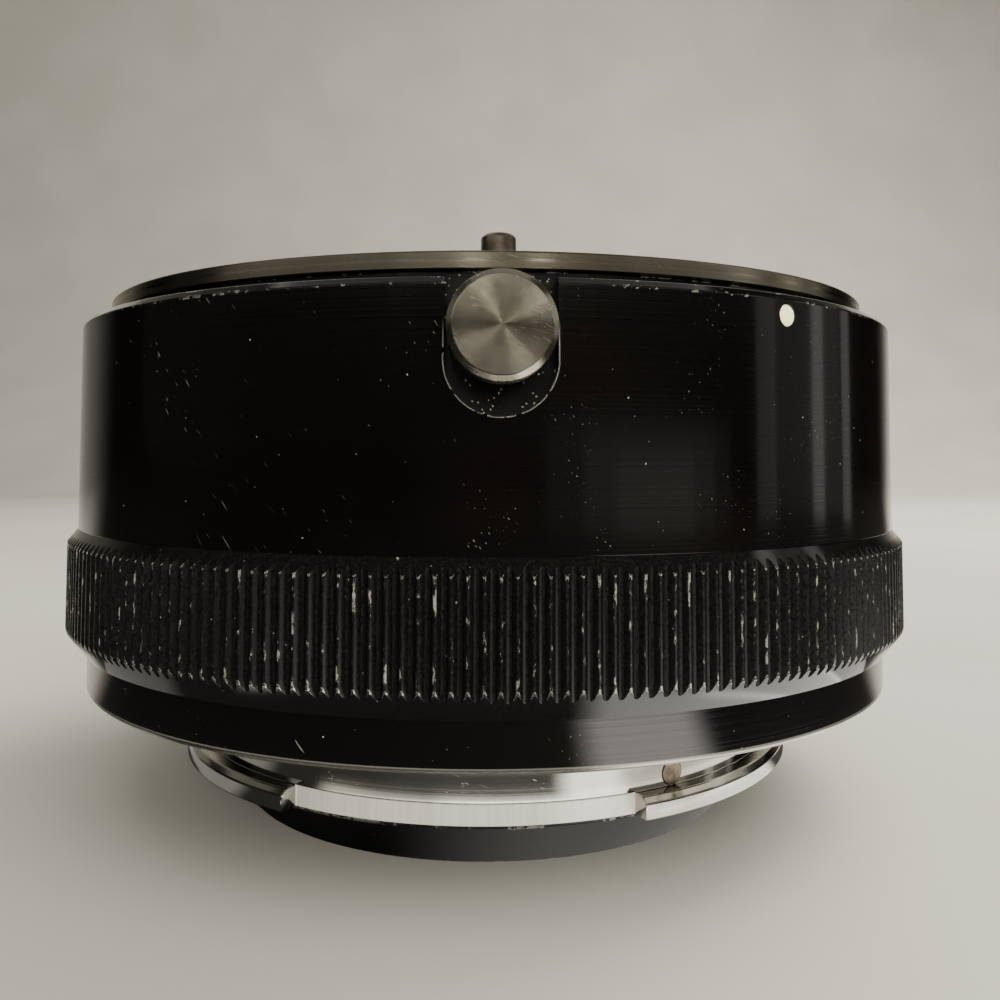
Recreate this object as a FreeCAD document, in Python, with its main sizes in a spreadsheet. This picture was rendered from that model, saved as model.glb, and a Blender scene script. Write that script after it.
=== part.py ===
import FreeCAD, Part
import math
import os
import re
import Sketcher

# Macro extension tube for a single lens reflex camera.
#
# The tube stands between camera and lens. Its rear end is a male bayonet that goes into the
# camera, its front end is a female bayonet that takes the lens. A sprung button on the side
# draws a lock pin into the front flange, and a ring inside carries the aperture lever's
# movement from the camera to the lens.
#
# The optical axis is Z. The rear seat face, which meets the camera, is at Z = 0, and the lens
# is towards +Z. The lock button is at -Y. Azimuths are in degrees from the button, turning
# anticlockwise as seen from the lens, so an azimuth of 90 is at +X.

doc = FreeCAD.newDocument("MacroExtensionTube")

# Driving dimensions, in millimetres and degrees. Radii build up from the light path outwards.
dimensions = [
    ("tube_length", 27.5, "seat face to seat face"),
    ("light_radius", 18.0, "clear radius of the light path"),
    # Barrel
    ("shoulder_drop", 1.7, "from the lens seat down to the barrel's end face"),
    ("shoulder_width", 1.9, "barrel's smooth wall outside the lens flange"),
    ("barrel_wall", 2.9, "smooth wall"),
    ("edge_chamfer", 0.4, "chamfer round the barrel's front edge"),
    ("register_step", 0.5, "lens flange over the raised rim that carries it"),
    ("register_wall", 0.85, "wall of that rim"),
    ("web_relief", 0.45, "opening in the front web, outside the bayonet's bore"),
    ("front_web_thick", 3.6, "front web"),
    ("rear_web_relief", 0.4, "opening in the rear web, outside the neck's bore"),
    ("rear_web_thick", 3.0, "rear web"),
    # Grip and rear ring
    ("grip_seat", 1.7, "smooth wall outside the narrow end that carries the grip"),
    ("grip_proud", 0.67, "teeth proud of the smooth wall"),
    ("grip_top", 11.3, "front edge of the grip's front cone"),
    ("front_cone_length", 0.9, "front cone"),
    ("rear_cone_length", 1.55, "rear cone"),
    ("rear_cone_drop", 0.5, "narrow end of the rear cone below the smooth wall"),
    ("tooth_count", 240, "teeth round the grip"),
    ("tooth_depth", 0.36, "depth of the grooves"),
    ("tooth_land", 0.15, "flat top of a tooth, as a share of the pitch"),
    ("ring_drop", 0.27, "rear ring below the grip's narrow end"),
    ("ring_rise", 1.35, "rear ring in front of the seat plate"),
    ("ring_lift", 0.1, "rear ring stands back from the seat face"),
    ("ring_chamfer", 0.2, "chamfer on its rear edge"),
    ("sleeve_fit", 0.05, "radial gap between parts that slip together"),
    # Camera side bayonet
    ("plate_margin", 0.7, "seat plate outside the screw heads"),
    ("plate_thick", 1.6, "seat plate"),
    ("neck_wall", 1.7, "wall of the neck"),
    ("lug_reach", 1.2, "lugs proud of the neck"),
    ("lug_depth", 4.25, "seat face to the lugs"),
    ("lug_thick", 1.35, "lug"),
    ("lug_root", 1.2, "lug inside the neck's wall"),
    ("lug_chamfer", 0.35, "chamfer on a lug's front edge"),
    ("lug_angle", 63.0, "one lug"),
    ("lug_azimuth", 54.5, "middle of the first lug"),
    ("gap_relief", 0.12, "milled below the neck's radius between the lugs"),
    ("neck_pin_radius", 0.8, "round pin in the neck"),
    ("neck_pin_azimuth", 30.3, "round pin in the neck"),
    ("neck_pin_stand", 0.05, "that pin proud of the neck"),
    ("lock_hole_radius", 1.3, "hole that takes the camera's lock pin"),
    # Rear lip
    ("lip_inset", 0.2, "wide end of the lip's cone inside the neck's radius"),
    ("lip_edge", 0.9, "width of the lip's rear edge"),
    ("lip_length", 3.4, "lip behind the lugs"),
    ("lip_rim", 0.15, "straight band at the wide end"),
    ("lip_socket", 3.4, "part of the lip inside the neck"),
    ("lip_wall", 1.25, "that part's wall"),
    ("lip_throat", 1.4, "straight length of the lip's opening"),
    ("lip_slot_play", 0.55, "slot in the lip to the lever's outer side"),
    # Inner sleeve
    ("sleeve_wall", 0.9, "wall of the sleeve"),
    ("sleeve_tail", 1.5, "sleeve behind the seat face"),
    ("sleeve_lead", 0.5, "sleeve in front of the inner cover"),
    ("rib_pitch", 0.95, "light trap ribs in the sleeve"),
    ("rib_depth", 0.3, "light trap ribs in the sleeve"),
    ("foot_margin", 1.2, "foot of the sleeve outside its screws' middles"),
    ("sleeve_foot_thick", 1.0, "foot of the sleeve"),
    ("ledge_step", 0.5, "ledge under the aperture ring, and clip, over the sleeve"),
    ("ledge_thick", 0.6, "ledge under the aperture ring"),
    ("ring_play", 0.05, "aperture ring to its ledge and to its clip's groove"),
    ("clip_thick", 0.5, "spring clip over the aperture ring"),
    ("clip_play", 0.025, "clip in its groove, each side"),
    ("clip_seat", 0.3, "depth of the clip's groove"),
    ("clip_gap", 24.0, "opening of the clip, in degrees"),
    ("clip_azimuth", 60.0, "side away from that opening"),
    # Lens side bayonet
    ("flange_margin", 1.3, "lens flange outside the screw heads"),
    ("flange_thick", 1.0, "lens flange"),
    ("flange_chamfer", 0.15, "chamfer on its edges"),
    ("mount_depth", 2.9, "whole bayonet ring"),
    ("lug_play", 0.25, "lens's lugs to the bore that they pass"),
    ("tab_clearance", 0.1, "between a tab and the neck of a lens"),
    ("tab_root", 0.3, "tab inside the ring's wall"),
    ("tab_angle", 55.0, "one tab"),
    ("tab_recess", 0.2, "tabs below the seat face"),
    # Leaf springs
    ("leaf_angle", 46.0, "one leaf spring"),
    ("leaf_thick", 0.3, "one leaf spring"),
    ("leaf_bow", 1.2, "drop of a leaf's ends"),
    ("leaf_gap", 0.1, "leaf spring to the sides of its tab"),
    ("leaf_screw", 0.4, "radius of a leaf's screw"),
    ("leaf_head", 0.55, "radius of its head"),
    ("leaf_head_thick", 0.3, "its head"),
    ("leaf_screw_length", 1.4, "its thread in the tab"),
    ("leaf_seat", 0.02, "its head to the leaf"),
    ("stop_pin_radius", 0.6, "pin that stops a lens"),
    ("stop_pin_reach", 0.5, "that pin's end to the neck of a lens"),
    ("stop_pin_root", 2.0, "that pin in the front web"),
    ("stop_pin_play", 1.8, "lug of a lens to that pin's middle, in degrees"),
    # Lens lock
    ("button_drop", 4.5, "middle of the button behind the lens seat"),
    ("button_radius", 2.85, "button"),
    ("button_stand", 1.75, "button's face proud of the barrel"),
    ("button_gap", 0.2, "button to the recess's floor"),
    ("button_chamfer", 0.3, "chamfer round its face"),
    ("button_travel", 1.55, "stroke of the button"),
    ("recess_play", 0.13, "button to the recess's side"),
    ("recess_deep", 1.35, "flat floor of the recess below the smooth wall"),
    ("stem_radius", 1.0, "stem of the button"),
    ("stem_play", 0.15, "stem to the sides of its slots"),
    ("stem_margin", 0.25, "stem to the ends of its slots"),
    ("stem_sink", 1.45, "stem inside the button"),
    ("stem_stop", 0.1, "bottom of the stem's hole outside the lock pin's axis"),
    ("stem_seat", 0.01, "stem's ends to the bottoms of their holes"),
    ("lock_pin_margin", 1.75, "lock pin's nose outside the lens bayonet's bore"),
    ("lock_nose_radius", 1.0, "lock pin's nose"),
    ("lock_nose_stand", 1.47, "nose proud of the seat face"),
    ("lock_nose_edge", 0.2, "chamfer of the nose"),
    ("lock_guide_step", 0.25, "guided part of the pin over its nose"),
    ("lock_body_radius", 1.5, "lock pin's body"),
    ("lock_body_length", 7.5, "lock pin's body"),
    ("lock_body_gap", 0.05, "body to the bayonet ring at rest"),
    ("running_gap", 0.05, "radial gap of a running fit"),
    ("spring_space", 6.1, "length of the lock spring"),
    ("spring_inset", 0.4, "mean radius of the lock spring inside the pin's body"),
    ("spring_wire", 0.16, "radius of its wire"),
    ("spring_turns", 7, "turns of the lock spring"),
    ("spring_seat", 0.05, "lock spring to the floor and to the pin"),
    ("housing_floor", 0.8, "floor under the lock spring"),
    ("housing_side", 2.7, "housing beside the pin's body"),
    ("housing_wall", 1.1, "housing inside the pin's body"),
    ("ear_reach", 3.0, "an ear of the housing"),
    ("ear_thick", 2.4, "an ear of the housing"),
    ("ear_screw_inset", 1.9, "ears' screws from the housing's inner face"),
    # Aperture drive
    ("drive_height", 13.0, "rear face of the aperture ring"),
    ("drive_thick", 1.2, "aperture ring"),
    ("drive_margin", 0.5, "aperture ring outside the levers' feet"),
    ("drive_swing", 17.0, "swing of the ring, in degrees"),
    ("lever_azimuth", 171.5, "levers at rest"),
    ("lever_angle", 14.0, "width of a lever, in degrees"),
    ("lever_gap", 0.2, "levers to the sleeve's ledge"),
    ("lever_thick", 0.75, "lever"),
    ("lever_foot_reach", 3.1, "foot of a lever along the ring"),
    ("lever_play", 1.5, "lever to its slot's end, in degrees"),
    ("slot_play", 0.25, "lever to its slot's side, and to the neck's bore"),
    ("rear_lever_inset", 1.0, "rear lever's end inside the lip"),
    ("front_lever_inset", 5.0, "front lever's end behind the lens seat"),
    ("rivet_radius", 0.5, "rivets of the levers"),
    ("rivet_head", 0.35, "rivet's head over its shank"),
    ("rivet_head_thick", 0.3, "rivet's head"),
    ("rivet_inset", 1.1, "rivets from the edge of a lever's foot"),
    ("rivet_spread", 4.0, "rivets, in degrees from the lever's middle"),
    ("post_margin", 1.4, "spring posts outside the ring"),
    ("ear_margin", 1.0, "ear of the ring outside its post's middle"),
    ("ear_angle", 7.0, "that ear, in degrees"),
    ("moving_post_azimuth", 250.0, "spring post on the ring"),
    ("fixed_post_azimuth", 222.0, "spring post on the barrel"),
    ("post_radius", 0.65, "both spring posts"),
    ("post_collar", 0.25, "collars over both spring posts"),
    ("post_collar_thick", 0.3, "collars of both spring posts"),
    ("post_past", 1.2, "both posts past the middle of the spring"),
    ("post_foot_thick", 1.0, "foot of the fixed post"),
    ("post_root", 1.5, "fixed post in the rear web"),
    ("return_drop", 1.8, "aperture spring below the ring"),
    ("return_coil", 0.85, "mean radius of the aperture spring"),
    ("return_wire", 0.15, "radius of its wire"),
    ("return_eye", 0.98, "mean radius of its eyes"),
    ("eye_opening", 50.0, "half the opening of its eyes, in degrees"),
    ("return_lead", 2.6, "its coils from the middle of a post"),
    ("return_turns", 11, "turns of the aperture spring"),
    # Inner cover
    ("cover_room", 2.0, "aperture ring to the inner cover"),
    ("cover_thick", 0.8, "inner cover"),
    ("cover_fit", 0.2, "inner cover to the sleeve"),
    ("cover_gap", 0.4, "inner cover to the barrel's wall"),
    ("cover_play", 0.5, "inner cover to the lock housing"),
    ("pillar_radius", 1.3, "pillars of the cover"),
    ("pillar_gap", 0.9, "pillars to the barrel's wall"),
    ("pillar_azimuth", 72.0, "first pillar"),
    ("pillar_stud", 1.7, "pillar's stud in the rear web"),
    # Screws
    ("screw_margin", 0.95, "heads of the bayonet screws outside the lens bayonet's bore"),
    ("mount_screw_azimuth", 36.0, "first bayonet screw"),
    ("screw_radius", 0.85, "thread of the bayonet screws"),
    ("screw_head", 1.7, "head of the bayonet screws"),
    ("screw_length", 4.3, "bayonet screws"),
    ("screw_sink", 0.05, "heads of the bayonet screws below the seat faces"),
    ("cross_long", 2.2, "cross recess of these screws"),
    ("cross_wide", 0.48, "one slot of that recess"),
    ("cross_depth", 0.35, "depth of that recess"),
    ("sink_lead", 0.8, "countersinks start this far outside the seat faces"),
    ("small_screw", 0.6, "thread of the small screws"),
    ("small_head", 1.1, "head of the small screws"),
    ("small_head_high", 0.6, "head of the small screws"),
    ("small_grip", 1.9, "small screws in what they hold to"),
    ("small_slot", 0.33, "slot of the small screws, its width and its depth"),
    ("tap_lead", 0.3, "tapped holes beyond the screws' ends"),
    ("sleeve_screw_inset", 1.4, "screws of the sleeve's foot outside the rear web's bore"),
    ("sleeve_screw_azimuth", 30.0, "first screw of the sleeve's foot"),
    ("thread_gap", 0.03, "radial gap round a thread or a pressed pin"),
    # Index dot
    ("dot_radius", 0.67, "index dot"),
    ("dot_azimuth", 31.9, "index dot"),
    ("dot_drop", 3.0, "index dot behind the lens seat"),
    ("dot_depth", 0.35, "index dot"),
    # Making
    ("overcut", 1.0, "cutting shapes run this far past the faces that they cut"),
]

sheet = doc.addObject("Spreadsheet::Sheet", "dims")
for row, (alias, value, note) in enumerate(dimensions, 1):
    sheet.set(f"A{row}", alias)
    sheet.set(f"B{row}", str(value))
    sheet.set(f"C{row}", note)
    sheet.setAlias(f"B{row}", alias)
doc.recompute()

# Sizes that follow from the dimensions. Radii and places are from the optical axis.
derived = [
    ("journal_radius", "light_radius + sleeve_wall", "sleeve's outside"),
    ("ledge_radius", "journal_radius + ledge_step", "ledge under the aperture ring"),
    ("lever_inner", "ledge_radius + lever_gap", "inner side of the levers"),
    ("lever_outer", "lever_inner + lever_thick", "outer side of the levers"),
    ("lever_foot", "lever_inner + lever_foot_reach", "outer edge of a lever's foot"),
    ("rivet_place", "lever_foot - rivet_inset", "rivets"),
    ("drive_radius", "lever_foot + drive_margin", "outside of the aperture ring"),
    ("post_place", "drive_radius + post_margin", "both spring posts"),
    ("ear_radius", "post_place + ear_margin", "ear of the aperture ring"),
    ("neck_bore", "lever_outer + slot_play", "inside the neck"),
    ("neck_radius", "neck_bore + neck_wall", "neck"),
    ("lug_radius", "neck_radius + lug_reach", "over the lugs"),
    ("lip_top_radius", "neck_radius - lip_inset", "wide end of the lip's cone"),
    ("lip_end_radius", "light_radius + lip_edge", "narrow end of the lip's cone"),
    ("mount_bore", "lug_radius + lug_play", "lens bayonet between its tabs"),
    ("tab_radius", "neck_radius + tab_clearance", "inside the tabs"),
    ("tab_middle", "(tab_radius + mount_bore) / 2", "middle of a tab"),
    ("front_web_bore", "mount_bore + web_relief", "opening in the front web"),
    ("rear_web_bore", "neck_bore + rear_web_relief", "opening in the rear web"),
    ("mount_screw_place", "mount_bore + screw_head + screw_margin", "bayonet screws"),
    ("lock_pin_place", "mount_bore + lock_nose_radius + lock_pin_margin", "lock pin"),
    ("plate_radius", "mount_screw_place + screw_head + plate_margin", "seat plate"),
    ("flange_radius", "mount_screw_place + screw_head + flange_margin", "lens flange"),
    ("register_radius", "flange_radius - register_step", "rim that carries the lens flange"),
    ("mount_pocket", "register_radius - register_wall", "inside that rim"),
    ("barrel_radius", "flange_radius + shoulder_width", "smooth outer wall"),
    ("barrel_bore", "barrel_radius - barrel_wall", "inside the wall"),
    ("spigot_radius", "barrel_radius - grip_seat", "narrow rear end, inside the grip"),
    ("grip_radius", "barrel_radius + grip_proud", "over the teeth"),
    ("grip_foot_radius", "barrel_radius - rear_cone_drop", "narrow end of the rear cone"),
    ("ring_radius", "grip_foot_radius - ring_drop", "rear ring"),
    ("ring_top", "plate_thick + ring_rise", "front face of the rear ring"),
    ("teeth_bottom", "ring_top + rear_cone_length", "rear end of the full teeth"),
    ("teeth_top", "grip_top - front_cone_length", "front end of the full teeth"),
    ("web_top", "tube_length - mount_depth", "front face of the front web"),
    ("web_under", "web_top - front_web_thick", "rear face of the front web"),
    ("shoulder", "tube_length - shoulder_drop", "barrel's end face"),
    ("flange_under", "tube_length - flange_thick", "rear face of the lens flange"),
    ("rear_web_top", "plate_thick + rear_web_thick", "front face of the rear web"),
    ("lug_end", "-lug_depth - lug_thick", "rear face of the lugs"),
    ("lip_end", "lug_end - lip_length", "rear end of the lip"),
    ("rear_lever_end", "lip_end + rear_lever_inset", "rear end of the rear lever"),
    ("front_lever_end", "tube_length - front_lever_inset", "front end of the front lever"),
    ("drive_top", "drive_height + drive_thick", "front face of the aperture ring"),
    ("clip_low", "drive_top + ring_play + clip_play", "rear face of the clip"),
    ("cover_height", "drive_top + cover_room", "rear face of the inner cover"),
    ("cover_top", "cover_height + cover_thick", "front face of the inner cover"),
    ("cover_bore", "journal_radius + cover_fit", "hole in the inner cover"),
    ("cover_radius", "barrel_bore - cover_gap", "outside of the inner cover"),
    ("pillar_place", "barrel_bore - pillar_gap - pillar_radius", "pillars of the cover"),
    ("sleeve_top", "cover_top + sleeve_lead", "front end of the sleeve"),
    ("sleeve_bottom", "-sleeve_tail", "rear end of the sleeve"),
    ("foot_top", "rear_web_top + sleeve_foot_thick", "front face of the sleeve's foot"),
    ("sleeve_screw_place", "rear_web_bore + sleeve_screw_inset", "screws of that foot"),
    ("sleeve_foot_radius", "sleeve_screw_place + foot_margin", "outside of that foot"),
    ("return_height", "drive_height - return_drop", "middle of the aperture spring"),
    ("swing_middle", "lever_azimuth + drive_swing / 2", "middle of the levers' slots"),
    ("swing_span", "lever_angle + drive_swing + 2 * lever_play", "width of those slots"),
    ("button_height", "tube_length - button_drop", "middle of the button at rest"),
    ("button_low", "button_height - button_travel", "middle of the button pressed"),
    ("recess_radius", "button_radius + recess_play", "recess for the button"),
    ("recess_floor", "barrel_radius - recess_deep", "floor of that recess"),
    ("button_back", "recess_floor + button_gap", "back of the button"),
    ("button_front", "barrel_radius + button_stand", "face of the button"),
    ("stem_root", "lock_pin_place + stem_stop", "bottom of the stem's hole in the lock pin"),
    ("stem_slot_end", "button_low - stem_radius - stem_margin", "rear end of the stem's slots"),
    ("lock_body_top", "web_top - lock_body_gap", "front end of the lock pin's body"),
    ("lock_body_end", "lock_body_top - lock_body_length", "rear end of that body"),
    ("lock_guide_radius", "lock_nose_radius + lock_guide_step", "pin's part in the bayonet"),
    ("spring_floor", "lock_body_end - spring_space", "floor under the lock spring"),
    ("spring_coil", "lock_body_radius - spring_inset", "mean radius of the lock spring"),
    ("housing_low", "spring_floor - housing_floor", "rear face of the lock housing"),
    ("housing_half_width", "lock_body_radius + housing_side", "half the lock housing's width"),
    ("housing_inner", "lock_pin_place - lock_body_radius - housing_wall", "its inner face"),
    ("ear_half_width", "housing_half_width + ear_reach", "half the width over its ears"),
    ("ear_screw_place", "housing_inner + ear_screw_inset", "screws of its ears"),
    ("ear_screw_across", "(housing_half_width + ear_half_width) / 2", "those screws"),
    ("dot_height", "tube_length - dot_drop", "index dot"),
    ("sink_mouth", "screw_head + screw_sink + thread_gap + sink_lead", "wide end of a countersink"),
    ("sink_depth", "sink_mouth - screw_radius", "depth of a countersink"),
    ("stop_azimuth", "lug_azimuth + lug_angle / 2 + stop_pin_play", "pin that stops a lens"),
    ("stop_height", "tube_length - lug_depth - lug_thick / 2", "that pin"),
    ("past_wall", "barrel_radius + 2 * overcut", "end of the cuts into the smooth wall"),
]
given = {alias for alias, value, note in dimensions}
worked_out = {alias for alias, text, note in derived}
pieces = []


def formula(text):
    """Points each name in a formula to its cell in the sheet or to the sizes worked out."""
    def full_name(word):
        alias = word.group(0)
        if alias in given:
            return "dims." + alias
        return "sizes." + alias if alias in worked_out else alias
    return re.sub(r"[a-z]+(?:_[a-z]+)*", full_name, str(text))


sizes = doc.addObject("App::VarSet", "sizes")
for alias, text, note in derived:
    sizes.addProperty("App::PropertyFloat", alias, "Derived", note)
    sizes.setExpression(alias, formula(text))
doc.recompute()


def bind(item, **values):
    for size, text in values.items():
        item.setExpression(size, formula(text))
    return item


def place(item, out=0, azimuth=0, up=0, across=0, pitch=0):
    """Stands an item at a distance from the axis, its own X pointing outwards."""
    turn = f"(({azimuth}) - 90) * 1deg"
    x = f"({out}) * cos({turn}) - ({across}) * sin({turn})"
    y = f"({out}) * sin({turn}) + ({across}) * cos({turn})"
    spin = f"rotation({turn}; {pitch}deg; 0deg)"
    item.setExpression("Placement", formula(f"placement(vector({x}; {y}; {up}); {spin})"))
    return item


def rod(name, radius, length, **where):
    """A cylinder that rises from its place, or points outwards with a pitch of 90."""
    item = doc.addObject("Part::Cylinder", name)
    bind(item, Radius=radius, Height=length)
    return place(item, **where)


def cone(name, low, high, length, **where):
    item = doc.addObject("Part::Cone", name)
    bind(item, Radius1=low, Radius2=high, Height=length)
    return place(item, **where)


def block(name, deep, wide, tall, out, **where):
    """A box that runs outwards from a distance, and is centred across."""
    item = doc.addObject("Part::Box", name)
    bind(item, Length=deep, Width=wide, Height=tall)
    return place(item, out=out, across=f"-({wide}) / 2", **where)


def fuse(name, shapes):
    item = doc.addObject("Part::MultiFuse", name)
    item.Shapes = shapes
    return item


def group(name, shapes):
    item = doc.addObject("Part::Compound", name)
    item.Links = shapes
    return item


def cut(name, base, tools):
    item = doc.addObject("Part::Cut", name)
    item.Base = base
    item.Tool = tools[0] if len(tools) == 1 else fuse(name + "_tools", tools)
    return item


def common(name, base, tool):
    item = doc.addObject("Part::Common", name)
    item.Base = base
    item.Tool = tool
    return item


def piece(label, item):
    """Marks an object as a finished piece, with the name that its file gets."""
    item.Label = label
    pieces.append(item)
    return item


def origin_part(body, role):
    return [item for item in body.Origin.OriginFeatures if item.Role == role][0]


def outline(body, name, corners, azimuth=None):
    """A closed outline of (radius, height) corners on a plane through the optical axis."""
    sketch = body.newObject("Sketcher::SketchObject", name)
    sketch.AttachmentSupport = [(origin_part(body, "XZ_Plane"), "")]
    sketch.MapMode = "FlatFace"
    if azimuth is not None:
        turn = FreeCAD.Rotation(FreeCAD.Vector(0, 1, 0), 1)
        sketch.AttachmentOffset = FreeCAD.Placement(FreeCAD.Vector(), turn)
        bind(sketch, **{"AttachmentOffset.Rotation.Angle": f"({azimuth} - 90) * 1deg"})
    count = len(corners)
    start = []
    for index in range(count):
        angle = 2 * math.pi * index / count
        start.append(FreeCAD.Vector(10 + 5 * math.cos(angle), 5 * math.sin(angle), 0))
    for index in range(count):
        sketch.addGeometry(Part.LineSegment(start[index], start[(index + 1) % count]))
    for index in range(count):
        sketch.addConstraint(Sketcher.Constraint("Coincident", index, 2, (index + 1) % count, 1))
    for index, (radius, height) in enumerate(corners):
        for kind, text, value in (
            ("DistanceX", radius, start[index].x),
            ("DistanceY", height, start[index].y),
        ):
            rule = sketch.addConstraint(Sketcher.Constraint(kind, -1, 1, index, 1, value))
            bind(sketch, **{f"Constraints[{rule}]": text})
    return sketch


def revolve(body, name, corners, angle=None, azimuth=None):
    """Turns an outline round the optical axis, whole or as a sector about an azimuth."""
    feature = body.newObject("PartDesign::Revolution", name)
    feature.Profile = outline(body, name + "_outline", corners, azimuth)
    feature.ReferenceAxis = (feature.Profile[0], ["V_Axis"])
    feature.Angle = 360
    if angle is not None:
        feature.Midplane = True
        bind(feature, Angle=angle)
    return feature


def turned(name, corners):
    body = doc.addObject("PartDesign::Body", name)
    revolve(body, name + "_turning", corners)
    return body


def sector(name, corners, angle, azimuth):
    body = doc.addObject("PartDesign::Body", name)
    revolve(body, name + "_turning", corners, angle, azimuth)
    return body


def repeat(body, name, feature, count):
    """Copies a feature round the optical axis."""
    pattern = body.newObject("PartDesign::PolarPattern", name)
    pattern.Originals = [feature]
    pattern.Axis = (origin_part(body, "Z_Axis"), [""])
    pattern.Angle = 360
    pattern.Occurrences = count
    body.Tip = pattern
    return pattern


def round_azimuths(first, count):
    """Azimuths of so many places, evenly spaced."""
    return [f"({first} + {index} * 360 / {count})" for index in range(count)]


def screw(name, radius, head, length, face, azimuth, out, heading):
    """A countersunk screw with a cross recess. Its head is flush with a face, and heading
    is 1 where the screw goes towards the lens and -1 where it goes towards the camera."""
    thread = f"({radius} - thread_gap)"
    sink = f"({head} - {thread})"
    if heading > 0:
        head_part = cone(name + "_head", head, thread, sink, out=out, azimuth=azimuth, up=face)
        shank_up = face
        slot_up = f"({face} - overcut + cross_depth)"
    else:
        head_part = cone(
            name + "_head", thread, head, sink, out=out, azimuth=azimuth, up=f"({face} - {sink})"
        )
        shank_up = f"({face} - {length})"
        slot_up = f"({face} - cross_depth)"
    shank = rod(name + "_shank", thread, length, out=out, azimuth=azimuth, up=shank_up)
    slots = []
    for index, (deep, wide) in enumerate((("cross_long", "cross_wide"), ("cross_wide", "cross_long"))):
        slots.append(
            block(
                f"{name}_slot{index}", deep, wide, "overcut",
                out=f"({out} - {deep} / 2)", azimuth=azimuth, up=slot_up,
            )
        )
    return cut(name, fuse(name + "_blank", [head_part, shank]), slots)


def cheese_screw(name, length, face, azimuth, out, heading, across=0):
    """A small screw with a flat slotted head, which stands on a face."""
    thread = "(small_screw - thread_gap)"
    where = {"out": out, "azimuth": azimuth, "across": across}
    if heading > 0:
        head_up = f"({face} - small_head_high)"
        shank_up = f"({face} - small_head_high / 2)"
        slot_up = f"({head_up} - overcut + small_slot)"
    else:
        head_up = face
        shank_up = f"({face} - {length})"
        slot_up = f"({face} + small_head_high - small_slot)"
    head_part = rod(name + "_head", "small_head", "small_head_high", up=head_up, **where)
    shank = rod(name + "_shank", thread, f"{length} + small_head_high / 2", up=shank_up, **where)
    slot = doc.addObject("Part::Box", name + "_slot")
    bind(slot, Length="small_head * 3", Width="small_slot", Height="overcut")
    place(
        slot, out=f"{out} - small_head * 1.5", azimuth=azimuth, up=slot_up,
        across=f"{across} - small_slot / 2",
    )
    return cut(name, fuse(name + "_blank", [head_part, shank]), [slot])


tiny = 1e-6


def biarc(start, heading, end, end_heading):
    """Two arcs that join two points and keep the direction at both."""
    chord = end - start
    both = heading + end_heading
    spread = 2 * (1 - heading.dot(end_heading))
    if spread < tiny:
        reach = chord.dot(chord) / (4 * chord.dot(end_heading))
    else:
        along = chord.dot(both)
        reach = (math.sqrt(along * along + spread * chord.dot(chord)) - along) / spread
    middle = (start + heading * reach + end - end_heading * reach) * 0.5
    edges = []
    for first, direction, last in ((start, heading, middle), (end, end_heading * -1, middle)):
        span = last - first
        half = span.Length / 2
        unit = FreeCAD.Vector(span).normalize()
        side = direction - unit * direction.dot(unit)
        if side.Length < tiny:
            edges.append(Part.LineSegment(first, last).toShape())
            continue
        bend = math.atan2(side.Length, direction.dot(unit))
        crown = first + unit * half + FreeCAD.Vector(side).normalize() * half * math.tan(bend / 2)
        ends = (first, crown, last) if first is start else (last, crown, first)
        edges.append(Part.Arc(*ends).toShape())
    return edges


def wire_spring(marks, wire):
    """A round wire through marks, each a point and the direction there."""
    edges = []
    for (start, heading), (end, end_heading) in zip(marks, marks[1:]):
        edges += biarc(start, heading, end, end_heading)
    path = Part.Wire(edges)
    point, direction = marks[0]
    section = Part.Wire(Part.makeCircle(wire, point, direction))
    return path.makePipeShell([section], True, False)


def helix_marks(coil, length, turns, low, steps=4):
    """Marks of a helix about Z, with a start at a height."""
    marks = []
    rise = length / turns
    for index in range(turns * steps + 1):
        angle = 2 * math.pi * index / steps
        point = FreeCAD.Vector(coil * math.cos(angle), coil * math.sin(angle), low + rise * index / steps)
        heading = FreeCAD.Vector(-coil * math.sin(angle), coil * math.cos(angle), rise / (2 * math.pi))
        marks.append((point, heading.normalize()))
    return marks


# Barrel: the outer wall with a web at each end
barrel_blank = turned("barrel_blank", [
    ("rear_web_bore", "plate_thick"),
    ("spigot_radius", "plate_thick"),
    ("spigot_radius", "grip_top"),
    ("barrel_radius", "grip_top"),
    ("barrel_radius", "shoulder - edge_chamfer"),
    ("barrel_radius - edge_chamfer", "shoulder"),
    ("register_radius", "shoulder"),
    ("register_radius", "flange_under"),
    ("mount_pocket", "flange_under"),
    ("mount_pocket", "web_top"),
    ("front_web_bore", "web_top"),
    ("front_web_bore", "web_under"),
    ("barrel_bore", "web_under"),
    ("barrel_bore", "rear_web_top"),
    ("rear_web_bore", "rear_web_top"),
])
barrel_cuts = [
    rod("recess_foot", "recess_radius", "past_wall - recess_floor",
        out="recess_floor", up="button_low", pitch=90),
    block("recess_channel", "past_wall - recess_floor", "2 * recess_radius",
          "shoulder + overcut - button_low", out="recess_floor", up="button_low"),
    block("stem_slot", "past_wall - lock_pin_place", "2 * (stem_radius + stem_play)",
          "web_top - stem_slot_end", out="lock_pin_place", up="stem_slot_end"),
    rod("lock_bore", "lock_body_radius + running_gap", "front_web_thick + overcut",
        out="lock_pin_place", up="web_under - overcut"),
    rod("dot_hole", "dot_radius", "dot_depth + overcut",
        out="barrel_radius - dot_depth", azimuth="dot_azimuth", up="dot_height", pitch=90),
]
mount_azimuths = round_azimuths("mount_screw_azimuth", 5)
for index, azimuth in enumerate(mount_azimuths):
    barrel_cuts.append(
        rod(f"lens_tapping{index}", "screw_radius", "screw_length",
            out="mount_screw_place", azimuth=azimuth, up="tube_length - screw_length - tap_lead"))
    barrel_cuts.append(
        rod(f"rear_tapping{index}", "screw_radius", "rear_web_top + overcut",
            out="mount_screw_place", azimuth=azimuth, up=0))
sleeve_azimuths = round_azimuths("sleeve_screw_azimuth", 3)
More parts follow.
